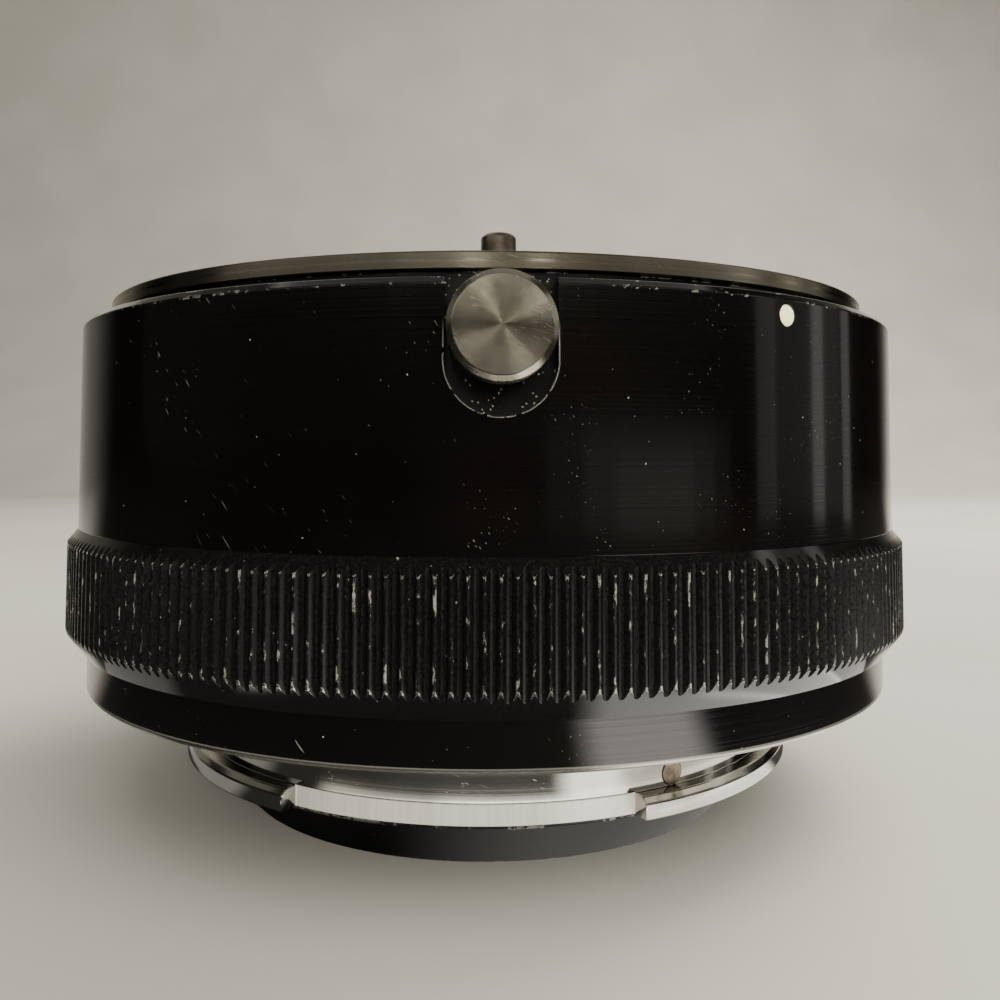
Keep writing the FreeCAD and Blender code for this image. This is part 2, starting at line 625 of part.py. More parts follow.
for index, azimuth in enumerate(sleeve_azimuths):
    barrel_cuts.append(
        rod(f"foot_tapping{index}", "small_screw", "small_grip + tap_lead + overcut",
            out="sleeve_screw_place", azimuth=azimuth, up="rear_web_top - small_grip - tap_lead"))
pillar_azimuths = round_azimuths("pillar_azimuth", 3)
for index, azimuth in enumerate(pillar_azimuths):
    barrel_cuts.append(
        rod(f"pillar_hole{index}", "small_screw + thread_gap", "pillar_stud + tap_lead + overcut",
            out="pillar_place", azimuth=azimuth, up="rear_web_top - pillar_stud - tap_lead"))
barrel_cuts.append(
    rod("fixed_post_hole", "post_radius + thread_gap", "post_root + overcut",
        out="post_place", azimuth="fixed_post_azimuth", up="rear_web_top - post_root"))
barrel_cuts.append(
    rod("stop_hole", "stop_pin_radius + thread_gap", "stop_pin_root + overcut",
        out="front_web_bore - overcut", azimuth="stop_azimuth", up="stop_height", pitch=90))
for side in (-1, 1):
    barrel_cuts.append(
        rod(f"ear_tapping{side + 1}", "small_screw", "small_grip + tap_lead + overcut",
            out="ear_screw_place", up="web_under - overcut", across=f"{side} * ear_screw_across"))
piece("main_barrel", cut("barrel", barrel_blank, barrel_cuts))


# Grip: a toothed disc with a cone at each end. The teeth are one long outline, so it is
# worked out here from the sheet instead of drawn as a sketch.
def toothed_disc(radius, depth, land, count, low, high):
    pitch = 2 * math.pi / count
    corners = []
    for index in range(count):
        for offset, reach in ((-land / 2, radius), (land / 2, radius), (0.5, radius - depth)):
            angle = (index + offset) * pitch
            corners.append(FreeCAD.Vector(reach * math.cos(angle), reach * math.sin(angle), low))
    corners.append(corners[0])
    face = Part.Face(Part.Wire(Part.makePolygon(corners)))
    return face.extrude(FreeCAD.Vector(0, 0, high - low))


teeth = doc.addObject("Part::Feature", "grip_teeth")
teeth.Shape = toothed_disc(
    sizes.grip_radius, sheet.tooth_depth, sheet.tooth_land, int(sheet.tooth_count),
    sizes.ring_top - sheet.overcut, sheet.grip_top + sheet.overcut,
)
over = "(grip_radius + overcut)"
rear_slope = "((teeth_bottom - ring_top) / (grip_radius - grip_foot_radius))"
front_slope = "((grip_top - teeth_top) / (grip_radius - barrel_radius))"
grip_blank = turned("grip_blank", [
    ("spigot_radius + sleeve_fit", "ring_top"),
    ("grip_foot_radius", "ring_top"),
    (over, f"teeth_bottom + overcut * {rear_slope}"),
    (over, f"teeth_top - overcut * {front_slope}"),
    ("barrel_radius", "grip_top"),
    ("spigot_radius + sleeve_fit", "grip_top"),
])
piece("grip_ring", common("grip", grip_blank, teeth))

# Rear ring: screwed on the barrel's rear end, against the grip
piece("rear_ring", turned("ring", [
    ("plate_radius + sleeve_fit", "ring_lift"),
    ("ring_radius - ring_chamfer", "ring_lift"),
    ("ring_radius", "ring_lift + ring_chamfer"),
    ("ring_radius", "ring_top"),
    ("spigot_radius + sleeve_fit", "ring_top"),
    ("spigot_radius + sleeve_fit", "plate_thick"),
    ("plate_radius + sleeve_fit", "plate_thick"),
]))

# Camera side bayonet: seat plate, neck and three lugs
bayonet = turned("bayonet_blank", [
    ("neck_bore", "plate_thick"),
    ("plate_radius", "plate_thick"),
    ("plate_radius", "0"),
    ("neck_radius", "0"),
    ("neck_radius", "-lug_depth"),
    ("neck_radius - gap_relief", "-lug_depth"),
    ("neck_radius - gap_relief", "lug_end"),
    ("neck_bore", "lug_end"),
])
lug = revolve(bayonet, "lug", [
    ("neck_radius - lug_root", "-lug_depth"),
    ("lug_radius - lug_chamfer", "-lug_depth"),
    ("lug_radius", "-lug_depth - lug_chamfer"),
    ("lug_radius", "lug_end"),
    ("neck_radius - lug_root", "lug_end"),
], "lug_angle", "lug_azimuth")
repeat(bayonet, "lugs", lug, 3)
bayonet_cuts = [
    rod("neck_pin_hole", "neck_pin_radius + thread_gap", "neck_wall + 2 * overcut",
        out="neck_bore - overcut",
        azimuth="neck_pin_azimuth", up="-lug_depth + neck_pin_radius", pitch=90),
    rod("lock_hole", "lock_hole_radius", "plate_thick + 2 * overcut",
        out="lock_pin_place", up="-overcut"),
]
for index, azimuth in enumerate(mount_azimuths):
    where = {"out": "mount_screw_place", "azimuth": azimuth}
    barrel_side = rod(f"rear_clear{index}", "screw_radius + thread_gap", "plate_thick + 2 * overcut",
                      up="-overcut", **where)
    sink = cone(f"rear_sink{index}", "sink_mouth", "screw_radius", "sink_depth",
                up="-sink_lead", **where)
    bayonet_cuts += [barrel_side, sink]
piece("camera_bayonet", cut("bayonet_ring", bayonet, bayonet_cuts))
piece("bayonet_stop_pin", rod(
    "neck_pin", "neck_pin_radius", "neck_radius - neck_bore + neck_pin_stand - thread_gap",
    out="neck_bore + thread_gap", azimuth="neck_pin_azimuth",
    up="-lug_depth + neck_pin_radius", pitch=90))
piece("camera_bayonet_screws", group("rear_screws", [
    screw(f"rear_screw{index}", "screw_radius", "screw_head", "screw_length", "screw_sink",
          azimuth, "mount_screw_place", 1)
    for index, azimuth in enumerate(mount_azimuths)
]))

# Rear lip: shades the neck, and has a slot at the back for the aperture lever
lip_blank = turned("lip_blank", [
    ("neck_bore - sleeve_fit", "lug_end + lip_socket"),
    ("neck_bore - sleeve_fit", "lug_end"),
    ("lip_top_radius", "lug_end"),
    ("lip_top_radius", "lug_end - lip_rim"),
    ("lip_end_radius", "lip_end"),
    ("light_radius", "lip_end"),
    ("light_radius", "lip_end + lip_throat"),
    ("neck_bore - lip_wall", "lug_end"),
    ("neck_bore - lip_wall", "lug_end + lip_socket"),
])
lip_slot = sector("lip_slot", [
    ("lever_inner - slot_play", "lip_end - overcut"),
    ("lever_outer + lip_slot_play", "lip_end - overcut"),
    ("lever_outer + lip_slot_play", "lug_end + lip_socket + overcut"),
    ("lever_inner - slot_play", "lug_end + lip_socket + overcut"),
], "swing_span", "swing_middle")
piece("rear_lip", cut("lip", lip_blank, [lip_slot]))

# Inner sleeve: ribbed light path, foot on the rear web, ledge for the aperture ring
rib_count = int((sizes.sleeve_top - sizes.sleeve_bottom) / sheet.rib_pitch)
inside = []
for index in range(rib_count):
    inside.append(("light_radius", f"sleeve_top - {index} * rib_pitch"))
    inside.append(("light_radius + rib_depth", f"sleeve_top - ({index} + 0.5) * rib_pitch"))
sleeve_blank = turned("sleeve_blank", inside + [
    ("light_radius", "sleeve_bottom"),
    ("journal_radius", "sleeve_bottom"),
    ("journal_radius", "rear_web_top"),
    ("sleeve_foot_radius", "rear_web_top"),
    ("sleeve_foot_radius", "foot_top"),
    ("journal_radius", "foot_top"),
    ("journal_radius", "drive_height - ledge_thick - ring_play"),
    ("ledge_radius", "drive_height - ledge_thick - ring_play"),
    ("ledge_radius", "drive_height - ring_play"),
    ("journal_radius", "drive_height - ring_play"),
    ("journal_radius", "clip_low - clip_play"),
    ("journal_radius - clip_seat", "clip_low - clip_play"),
    ("journal_radius - clip_seat", "clip_low + clip_thick + clip_play"),
    ("journal_radius", "clip_low + clip_thick + clip_play"),
    ("journal_radius", "sleeve_top"),
])
foot_slot = sector("foot_slot", [
    ("lever_inner - slot_play", "rear_web_top - overcut"),
    ("lever_outer + slot_play", "rear_web_top - overcut"),
    ("lever_outer + slot_play", "foot_top + overcut"),
    ("lever_inner - slot_play", "foot_top + overcut"),
], "swing_span", "swing_middle")
sleeve_cuts = [foot_slot]
for index, azimuth in enumerate(sleeve_azimuths):
    sleeve_cuts.append(
        rod(f"foot_clear{index}", "small_screw + thread_gap", "sleeve_foot_thick + 2 * overcut",
            out="sleeve_screw_place", azimuth=azimuth, up="rear_web_top - overcut"))
piece("inner_sleeve", cut("sleeve", sleeve_blank, sleeve_cuts))
piece("sleeve_screws", group("foot_screws", [
    cheese_screw(f"foot_screw{index}", "(sleeve_foot_thick + small_grip)", "foot_top", azimuth,
                 "sleeve_screw_place", -1)
    for index, azimuth in enumerate(sleeve_azimuths)
]))
piece("drive_ring_clip", sector("clip", [
    ("journal_radius - clip_seat + thread_gap", "clip_low"),
    ("ledge_radius", "clip_low"),
    ("ledge_radius", "clip_low + clip_thick"),
    ("journal_radius - clip_seat + thread_gap", "clip_low + clip_thick"),
], "360 - clip_gap", "clip_azimuth"))

# Lens side bayonet: flange, three tabs, and the bore for the lock pin's nose
mount = turned("mount_blank", [
    ("mount_bore", "web_top"),
    ("mount_pocket - sleeve_fit", "web_top"),
    ("mount_pocket - sleeve_fit", "flange_under"),
    ("flange_radius", "flange_under"),
    ("flange_radius", "tube_length - flange_chamfer"),
    ("flange_radius - flange_chamfer", "tube_length"),
    ("mount_bore + flange_chamfer", "tube_length"),
    ("mount_bore", "tube_length - flange_chamfer"),
])
tab = revolve(mount, "tab", [
    ("tab_radius", "web_top"),
    ("mount_bore + tab_root", "web_top"),
    ("mount_bore + tab_root", "tube_length - tab_recess"),
    ("tab_radius", "tube_length - tab_recess"),
], "tab_angle", "lug_azimuth")
repeat(mount, "tabs", tab, 3)
tab_azimuths = round_azimuths("lug_azimuth", 3)
mount_cuts = [rod("nose_bore", "lock_guide_radius + running_gap", "mount_depth + 2 * overcut",
                  out="lock_pin_place", up="web_top - overcut")]
for index, azimuth in enumerate(mount_azimuths):
    where = {"out": "mount_screw_place", "azimuth": azimuth}
    lens_clear = rod(f"lens_clear{index}", "screw_radius + thread_gap", "mount_depth + 2 * overcut",
                     up="web_top - overcut", **where)
    sink = cone(f"lens_sink{index}", "screw_radius", "sink_mouth", "sink_depth",
                up="tube_length + sink_lead - sink_depth", **where)
    mount_cuts += [lens_clear, sink]
for index, azimuth in enumerate(tab_azimuths):
    mount_cuts.append(
        rod(f"leaf_tapping{index}", "leaf_screw", "leaf_screw_length + tap_lead + overcut",
            out="tab_middle", azimuth=azimuth, up="web_top - overcut"))
piece("lens_bayonet", cut("mount_ring", mount, mount_cuts))
piece("lens_bayonet_screws", group("lens_screws", [
    screw(f"lens_screw{index}", "screw_radius", "screw_head", "screw_length",
          "(tube_length - screw_sink)", azimuth, "mount_screw_place", -1)
    for index, azimuth in enumerate(mount_azimuths)
]))
piece("lens_stop_pin", rod(
    "stop_pin", "stop_pin_radius",
    "front_web_bore + stop_pin_root - thread_gap - neck_radius - stop_pin_reach",
    out="neck_radius + stop_pin_reach", azimuth="stop_azimuth", up="stop_height", pitch=90))

# Leaf springs under the tabs: a bowed strip cut to the width of a tab
leaf_half = "(tab_middle * sin(leaf_angle / 2 * 1deg))"
bow_radius = f"(({leaf_half} * {leaf_half} + leaf_bow * leaf_bow) / (2 * leaf_bow))"
leaves = []
leaf_screws = []
for index, azimuth in enumerate(tab_azimuths):
    where = {"out": "neck_bore", "azimuth": azimuth, "up": f"web_top - {bow_radius}", "pitch": 90}
    outer = rod(f"leaf_outer{index}", bow_radius, "front_web_bore - neck_bore", **where)
    inner = rod(f"leaf_inner{index}", f"{bow_radius} - leaf_thick", "front_web_bore - neck_bore",
                **where)
    bow = cut(f"leaf_bow{index}", outer, [inner])
    strip = sector(f"leaf_strip{index}", [
        ("tab_radius + leaf_gap", "web_top - leaf_bow - leaf_thick - overcut"),
        ("mount_bore - leaf_gap", "web_top - leaf_bow - leaf_thick - overcut"),
        ("mount_bore - leaf_gap", "web_top + overcut"),
        ("tab_radius + leaf_gap", "web_top + overcut"),
    ], "leaf_angle", azimuth)
    hole = rod(f"leaf_hole{index}", "leaf_screw + thread_gap", "leaf_thick + 2 * overcut",
               out="tab_middle", azimuth=azimuth, up="web_top - leaf_thick - overcut")
    leaves.append(cut(f"leaf{index}", common(f"leaf_blank{index}", strip, bow), [hole]))
    where = {"out": "tab_middle", "azimuth": azimuth}
    head = rod(f"leaf_head{index}", "leaf_head", "leaf_head_thick",
               up="web_top - leaf_thick - leaf_seat - leaf_head_thick", **where)
    shank = rod(f"leaf_shank{index}", "leaf_screw - thread_gap", "leaf_screw_length + leaf_thick",
                up="web_top - leaf_thick - leaf_seat", **where)
    leaf_screws.append(fuse(f"leaf_screw{index}", [head, shank]))
piece("leaf_springs", group("leaf_set", leaves))
piece("leaf_spring_screws", group("leaf_screw_set", leaf_screws))

# Index dot: enamel in a shallow hole
piece("index_dot", rod("dot", "dot_radius - thread_gap", "dot_depth",
                       out="barrel_radius - dot_depth", azimuth="dot_azimuth",
                       up="dot_height", pitch=90))

# Lens lock: button, stem, stepped pin and spring, guided in a housing
button_low_part = rod("button_drum", "button_radius", "button_front - button_back - button_chamfer",
                      out="button_back", up="button_height", pitch=90)
button_rim = cone("button_rim", "button_radius", "button_radius - button_chamfer",
                  "button_chamfer", out="button_front - button_chamfer", up="button_height",
                  pitch=90)
button_hole = rod("button_hole", "stem_radius + thread_gap", "stem_sink + overcut",
                  out="button_back - overcut", up="button_height", pitch=90)
piece("release_button", cut("button", fuse("button_blank", [button_low_part, button_rim]),
                            [button_hole]))
piece("button_stem", rod("stem", "stem_radius",
                         "button_back + stem_sink - stem_root - 2 * stem_seat",
                         out="stem_root + stem_seat", up="button_height", pitch=90))
lock_body = rod("lock_body", "lock_body_radius", "lock_body_length", out="lock_pin_place",
                up="lock_body_end")
lock_guide = rod("lock_guide", "lock_guide_radius", "tube_length - lock_body_top",
                 out="lock_pin_place", up="lock_body_top")
lock_nose = rod("lock_nose", "lock_nose_radius",
                "tube_length + lock_nose_stand - lock_nose_edge - lock_body_top",
                out="lock_pin_place", up="lock_body_top")
nose_tip = cone("nose_tip", "lock_nose_radius", "lock_nose_radius - lock_nose_edge",
                "lock_nose_edge", out="lock_pin_place",
                up="tube_length + lock_nose_stand - lock_nose_edge")
pin_hole = rod("pin_hole", "stem_radius + thread_gap", "lock_body_radius + overcut",
               out="stem_root", up="button_height", pitch=90)
pin_blank = fuse("pin_blank", [lock_body, lock_guide, lock_nose, nose_tip])
piece("lock_pin", cut("pin", pin_blank, [pin_hole]))

housing_shell = sector("housing_shell", [
    ("housing_inner - overcut", "housing_low"),
    ("barrel_bore - sleeve_fit", "housing_low"),
    ("barrel_bore - sleeve_fit", "web_under"),
    ("housing_inner - overcut", "web_under"),
], 90, 0)
housing_tower = block("housing_tower", "barrel_radius - housing_inner", "2 * housing_half_width",
                      "web_under - housing_low", out="housing_inner", up="housing_low")
housing_ears = block("housing_ears", "barrel_radius - housing_inner", "2 * ear_half_width", "ear_thick",
                     out="housing_inner", up="web_under - ear_thick")
housing_blank = common("housing_blank", fuse("housing_form", [housing_tower, housing_ears]),
                       housing_shell)
housing_cuts = [
    rod("housing_bore", "lock_body_radius + running_gap", "web_under - spring_floor + overcut",
        out="lock_pin_place", up="spring_floor"),
    block("housing_slot", "past_wall - lock_pin_place", "2 * (stem_radius + stem_play)",
          "web_top - stem_slot_end", out="lock_pin_place", up="stem_slot_end"),
]
housing_screws = []
for side in (-1, 1):
    across = f"{side} * ear_screw_across"
    housing_cuts.append(rod(f"ear_clear{side + 1}", "small_screw + thread_gap",
                            "ear_thick + 2 * overcut", out="ear_screw_place",
                            up="web_under - ear_thick - overcut", across=across))
    housing_screws.append(cheese_screw(
        f"ear_screw{side + 1}", "(ear_thick + small_grip)", "(web_under - ear_thick)", 0,
        "ear_screw_place", 1, across))
piece("lock_housing", cut("housing", housing_blank, housing_cuts))
piece("lock_housing_screws", group("ear_screws", housing_screws))

lock_spring = doc.addObject("Part::Feature", "lock_coil")
end_room = sheet.spring_wire + sheet.spring_seat
lock_spring.Shape = wire_spring(
    helix_marks(sizes.spring_coil, sheet.spring_space - 2 * end_room, int(sheet.spring_turns),
                sizes.spring_floor + end_room),
    sheet.spring_wire)
lock_spring.Placement = FreeCAD.Placement(
    FreeCAD.Vector(0, -sizes.lock_pin_place, 0), FreeCAD.Rotation())
piece("lock_spring", lock_spring)

# Aperture drive: ring on the sleeve, a lever to the camera and one to the lens
drive_blank = turned("drive_blank", [
    ("journal_radius + running_gap", "drive_height"),
    ("drive_radius", "drive_height"),
    ("drive_radius", "drive_top"),
    ("journal_radius + running_gap", "drive_top"),
])
revolve(drive_blank, "ear", [
    ("drive_radius - overcut", "drive_height"),
    ("ear_radius", "drive_height"),
    ("ear_radius", "drive_top"),
    ("drive_radius - overcut", "drive_top"),
], "ear_angle", "moving_post_azimuth")
drive_cuts = [rod("ear_hole", "post_radius + thread_gap", "drive_thick + 2 * overcut",
                  out="post_place", azimuth="moving_post_azimuth", up="drive_height - overcut")]
rivet_azimuths = [f"(lever_azimuth + {side} * rivet_spread)" for side in (-1, 1)]
for index, azimuth in enumerate(rivet_azimuths):
    drive_cuts.append(rod(f"drive_rivet_hole{index}", "rivet_radius + thread_gap",
                          "drive_thick + 2 * overcut", out="rivet_place", azimuth=azimuth,
                          up="drive_height - overcut"))
piece("aperture_ring", cut("drive", drive_blank, drive_cuts))


def lever(name, near, far, heading):
    """An angled lever: a foot flat on the ring and a blade along the tube. Its heading is 1
    where the blade points to the lens and -1 where it points to the camera."""
    foot_face = f"({near} + {heading} * lever_thick)"
    blank = sector(name + "_blank", [
        ("lever_inner", near),
        ("lever_foot", near),
        ("lever_foot", foot_face),
        ("lever_outer", foot_face),
        ("lever_outer", far),
        ("lever_inner", far),
    ], "lever_angle", "lever_azimuth")
    holes = [rod(f"{name}_hole{index}", "rivet_radius + thread_gap",
                 "2 * (lever_thick + overcut)", out="rivet_place", azimuth=azimuth,
                 up=f"{near} - lever_thick - overcut")
             for index, azimuth in enumerate(rivet_azimuths)]
    return piece(name, cut(name + "_cut", blank, holes))


lever("rear_lever", "drive_height", "rear_lever_end", -1)
lever("front_lever", "drive_top", "front_lever_end", 1)
rivets = []
rivet_low = "(drive_height - lever_thick - rivet_head_thick)"
rivet_high = "(drive_top + lever_thick)"
for index, azimuth in enumerate(rivet_azimuths):
    where = {"out": "rivet_place", "azimuth": azimuth}
    rivets.append(fuse(f"rivet{index}", [
        rod(f"rivet_shank{index}", "rivet_radius",
            f"{rivet_high} + rivet_head_thick - {rivet_low}", up=rivet_low, **where),
        rod(f"rivet_foot{index}", "rivet_radius + rivet_head", "rivet_head_thick",
            up=rivet_low, **where),
        rod(f"rivet_head{index}", "rivet_radius + rivet_head", "rivet_head_thick",
            up=rivet_high, **where),
    ]))
piece("lever_rivets", group("rivets", rivets))
moving_where = {"out": "post_place", "azimuth": "moving_post_azimuth"}
piece("ring_spring_post", fuse("moving_post", [
    rod("moving_stalk", "post_radius", "drive_top + post_collar_thick - return_height + post_past",
        up="return_height - post_past", **moving_where),
    rod("moving_head", "post_radius + post_collar", "post_collar_thick", up="drive_top",
        **moving_where),
    rod("moving_tip", "post_radius + post_collar", "post_collar_thick",
        up="return_height - post_past", **moving_where),
]))
fixed_where = {"out": "post_place", "azimuth": "fixed_post_azimuth"}
piece("barrel_spring_post", fuse("fixed_post", [
    rod("fixed_stalk", "post_radius", "return_height + post_past - rear_web_top + post_root",
        up="rear_web_top - post_root", **fixed_where),
    rod("fixed_foot", "post_radius + post_collar", "post_foot_thick", up="rear_web_top",
        **fixed_where),
    rod("fixed_tip", "post_radius + post_collar", "post_collar_thick",
        up="return_height + post_past - post_collar_thick", **fixed_where),
]))


def polar(radius, azimuth, height):
    angle = math.radians(azimuth - 90)
    return FreeCAD.Vector(radius * math.cos(angle), radius * math.sin(angle), height)


def eye_marks(centre, radius, towards, opening, steps=8):
    """An open eye in a level plane, which starts and ends on the side of a direction."""
    start = math.atan2(towards.y, towards.x) + opening
    turn = 2 * math.pi - 2 * opening
    marks = []
    for index in range(steps + 1):
        angle = start + turn * index / steps
        point = centre + FreeCAD.Vector(radius * math.cos(angle), radius * math.sin(angle), 0)
        marks.append((point, FreeCAD.Vector(-math.sin(angle), math.cos(angle), 0)))
    return marks


def return_spring():
    """Extension spring between the two posts, with an eye round each."""
    first = polar(sizes.post_place, sheet.fixed_post_azimuth, sizes.return_height)
    last = polar(sizes.post_place, sheet.moving_post_azimuth, sizes.return_height)
    along = (last - first).normalize()
    side = FreeCAD.Vector(-along.y, along.x, 0)
    up = FreeCAD.Vector(0, 0, 1)
    lead = sheet.return_lead
    opening = math.radians(sheet.eye_opening)
    span = (last - first).Length - 2 * lead
    turns = int(sheet.return_turns)
    coil = sheet.return_coil
    helix = []
    for index in range(turns * 4 + 1):
        angle = math.pi / 2 * index
        rise = span / turns
        radial = side * math.cos(angle) + up * math.sin(angle)
        round_way = up * math.cos(angle) - side * math.sin(angle)
        point = first + along * (lead + rise * index / 4) + radial * coil
        heading = round_way * coil + along * (rise / (2 * math.pi))
        helix.append((point, heading.normalize()))
    start_eye = eye_marks(first, sheet.return_eye, along, opening)
    end_eye = eye_marks(last, sheet.return_eye, along * -1, opening)
    return wire_spring(start_eye + helix + end_eye, sheet.return_wire)


aperture_spring = doc.addObject("Part::Feature", "return_coil_shape")
aperture_spring.Shape = return_spring()
piece("aperture_spring", aperture_spring)

# Inner cover on three pillars, with room for the lock housing and the front lever
cover_blank = turned("cover_blank", [
    ("cover_bore", "cover_height"),
    ("cover_radius", "cover_height"),
    ("cover_radius", "cover_top"),
    ("cover_bore", "cover_top"),
])
cover_slot = sector("cover_slot", [
    ("cover_bore - overcut", "cover_height - overcut"),
    ("lever_outer + slot_play", "cover_height - overcut"),
    ("lever_outer + slot_play", "cover_top + overcut"),
    ("cover_bore - overcut", "cover_top + overcut"),
], "swing_span", "swing_middle")
cover_notch = block("cover_notch", "barrel_radius - housing_inner",
                    "2 * (ear_half_width + cover_play)", "cover_thick + 2 * overcut",
                    out="housing_inner - cover_play", up="cover_height - overcut")
cover_cuts = [cover_slot, cover_notch]
for index, azimuth in enumerate(pillar_azimuths):
    cover_cuts.append(
        rod(f"cover_clear{index}", "small_screw + thread_gap", "cover_thick + 2 * overcut",
            out="pillar_place", azimuth=azimuth, up="cover_height - overcut"))
piece("inner_cover", cut("cover", cover_blank, cover_cuts))
pillars = []
for index, azimuth in enumerate(pillar_azimuths):
    where = {"out": "pillar_place", "azimuth": azimuth}
    form = fuse(f"pillar_form{index}", [
        rod(f"pillar_stud{index}", "small_screw", "pillar_stud + overcut",
            up="rear_web_top - pillar_stud", **where),
        rod(f"pillar_stem{index}", "pillar_radius", "cover_height - rear_web_top",
            up="rear_web_top", **where),
    ])
    tapping = rod(f"pillar_tapping{index}", "small_screw", "small_grip + tap_lead + overcut",
                  up="cover_height - small_grip - tap_lead", **where)
    pillars.append(cut(f"pillar{index}", form, [tapping]))
piece("cover_pillars", group("pillars", pillars))
piece("cover_screws", group("cover_screw_set", [
    cheese_screw(f"cover_screw{index}", "(cover_thick + small_grip)", "cover_top",
                 azimuth, "pillar_place", -1)
    for index, azimuth in enumerate(pillar_azimuths)
]))

doc.recompute()

# Nothing is written unless every object and every piece is sound
failed = [item.Name for item in doc.Objects if {"Invalid", "Error"} & set(item.State)]
if failed:
    raise SystemExit("failed objects: " + ", ".join(failed))
for item in pieces:
    if item.Shape.isNull() or not item.Shape.isValid():
        raise SystemExit("bad shape: " + item.Label)

os.makedirs("parts", exist_ok=True)
for item in pieces:
    item.Shape.exportStep(f"parts/{item.Label}.step")
    box = item.Shape.BoundBox
    print(f"{item.Label:24} {len(item.Shape.Solids):3} solids {item.Shape.Volume:10.2f} mm3 "
          f"z {box.ZMin:7.2f} to {box.ZMax:7.2f}")
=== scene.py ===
import math
from functools import partial
import bmesh
import bpy
from mathutils import Matrix, Vector


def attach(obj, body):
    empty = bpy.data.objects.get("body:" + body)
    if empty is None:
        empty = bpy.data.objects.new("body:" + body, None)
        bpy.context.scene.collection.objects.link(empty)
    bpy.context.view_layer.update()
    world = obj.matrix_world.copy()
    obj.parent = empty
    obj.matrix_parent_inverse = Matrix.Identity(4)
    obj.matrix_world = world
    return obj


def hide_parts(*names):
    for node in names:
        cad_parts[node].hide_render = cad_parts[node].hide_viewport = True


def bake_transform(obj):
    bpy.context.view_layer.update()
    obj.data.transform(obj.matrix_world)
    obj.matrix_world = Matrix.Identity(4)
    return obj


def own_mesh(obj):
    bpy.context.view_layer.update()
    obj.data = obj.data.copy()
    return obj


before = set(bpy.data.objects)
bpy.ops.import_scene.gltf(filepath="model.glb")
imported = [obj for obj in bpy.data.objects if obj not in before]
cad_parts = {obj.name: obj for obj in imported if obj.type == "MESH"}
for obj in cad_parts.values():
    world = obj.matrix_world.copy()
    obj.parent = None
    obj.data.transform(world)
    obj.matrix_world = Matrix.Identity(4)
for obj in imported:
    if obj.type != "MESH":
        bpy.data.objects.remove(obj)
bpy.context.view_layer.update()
mm = 0.001
opticalAxis = (Vector((0, 0, 0)), Vector((0, 0, 1)))  # a point of an axis and its direction
print("frame loaded:", len(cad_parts), "CAD pieces")


# Shapes

meshing = {"weld": 0.002,  # corners nearer than this many mm become one
           "bevelFrom": 35,  # degrees between faces whose edge is bevelled
           "sharpFrom": 28,  # degrees between faces whose edge is shaded sharp
           "sideways": 0.035,  # a face that leans sideways more than this isn't a turned one
           "level": 0.02}  # a face that looks outwards less than this is an end face


def around(azimuth, out, height):
    # Azimuths count from the button, which is at -Y, towards +X
    turn = math.radians(azimuth - 90)
    return Vector((out * math.cos(turn), out * math.sin(turn), height)) * mm


def uprightAxis(azimuth, out, height=0, heading=1):
    return around(azimuth, out, height), Vector((0, 0, heading))


def outwardAxis(azimuth, height):
    return Vector((0, 0, height)) * mm, around(azimuth, 1, 0).normalized()


def turn(bm, outline, steps, angle=360, azimuth=0, axis=opticalAxis):
    # An outline of (radius, height) corners in mm, turned about an axis, whole or as a sector
    foot, along = axis
    whole = angle == 360
    if axis is opticalAxis:
        out = around(azimuth - (0 if whole else angle / 2), 1, 0).normalized()
    else:
        out = Vector((1, 0, 0)) if along.z else Vector((0, 0, 1))
    corners = [bm.verts.new(foot + out * radius * mm + along * height * mm) for radius, height in outline]
    edges = [bm.edges.new((corners[i - 1], corners[i])) for i in range(len(corners))]
    if not whole:
        bm.faces.new(corners)
    result = bmesh.ops.spin(bm, geom=corners + edges, cent=foot, axis=along, angle=math.radians(angle),
                            steps=steps, use_merge=whole)
    if not whole:
        ends = [item for item in result["geom_last"] if isinstance(item, bmesh.types.BMEdge)]
        bmesh.ops.contextual_create(bm, geom=ends)


def sharpEdges(bm):
    limit = math.radians(meshing["bevelFrom"])
    return [edge for edge in bm.edges if len(edge.link_faces) == 2 and edge.calc_face_angle(0) > limit]


def clean(bm, bevelWidth=0):
    bmesh.ops.remove_doubles(bm, verts=bm.verts, dist=meshing["weld"] * mm)
    bmesh.ops.recalc_face_normals(bm, faces=bm.faces)
    if bevelWidth:
        bmesh.ops.bevel(bm, geom=sharpEdges(bm), offset=bevelWidth * mm, offset_type="OFFSET",
                        affect="EDGES", segments=2, profile=0.5, material=-1, clamp_overlap=True)
        bmesh.ops.recalc_face_normals(bm, faces=bm.faces)


def asObject(name, bm):
    mesh = bpy.data.meshes.new(name)
    bm.to_mesh(mesh)
    bm.free()
    piece = bpy.data.objects.new(name, mesh)
    bpy.context.scene.collection.objects.link(piece)
    return piece


def turnedObject(name, outline, steps, bevelWidth=0, **place):
    bm = bmesh.new()
    turn(bm, outline, steps, **place)
    clean(bm, bevelWidth)
    return asObject(name, bm)


def carve(piece, cutters, operation="DIFFERENCE"):
    # Cuts holes, or joins bosses on, then keeps the result as plain mesh
    for cutter in cutters:
        modifier = piece.modifiers.new("carve", "BOOLEAN")
        modifier.operation = operation
        modifier.solver = "EXACT"
        modifier.object = cutter
        graph = bpy.context.evaluated_depsgraph_get()
        carved = bpy.data.meshes.new_from_object(piece.evaluated_get(graph))
        piece.modifiers.clear()
        piece.data = carved
        bpy.data.objects.remove(cutter)
    return piece


def shadeSmooth(piece):
    for polygon in piece.data.polygons:
        polygon.use_smooth = True


def outwards(point, axis):
    foot, along = axis
    arm = point - foot
    return (arm - along * arm.dot(along)).normalized()


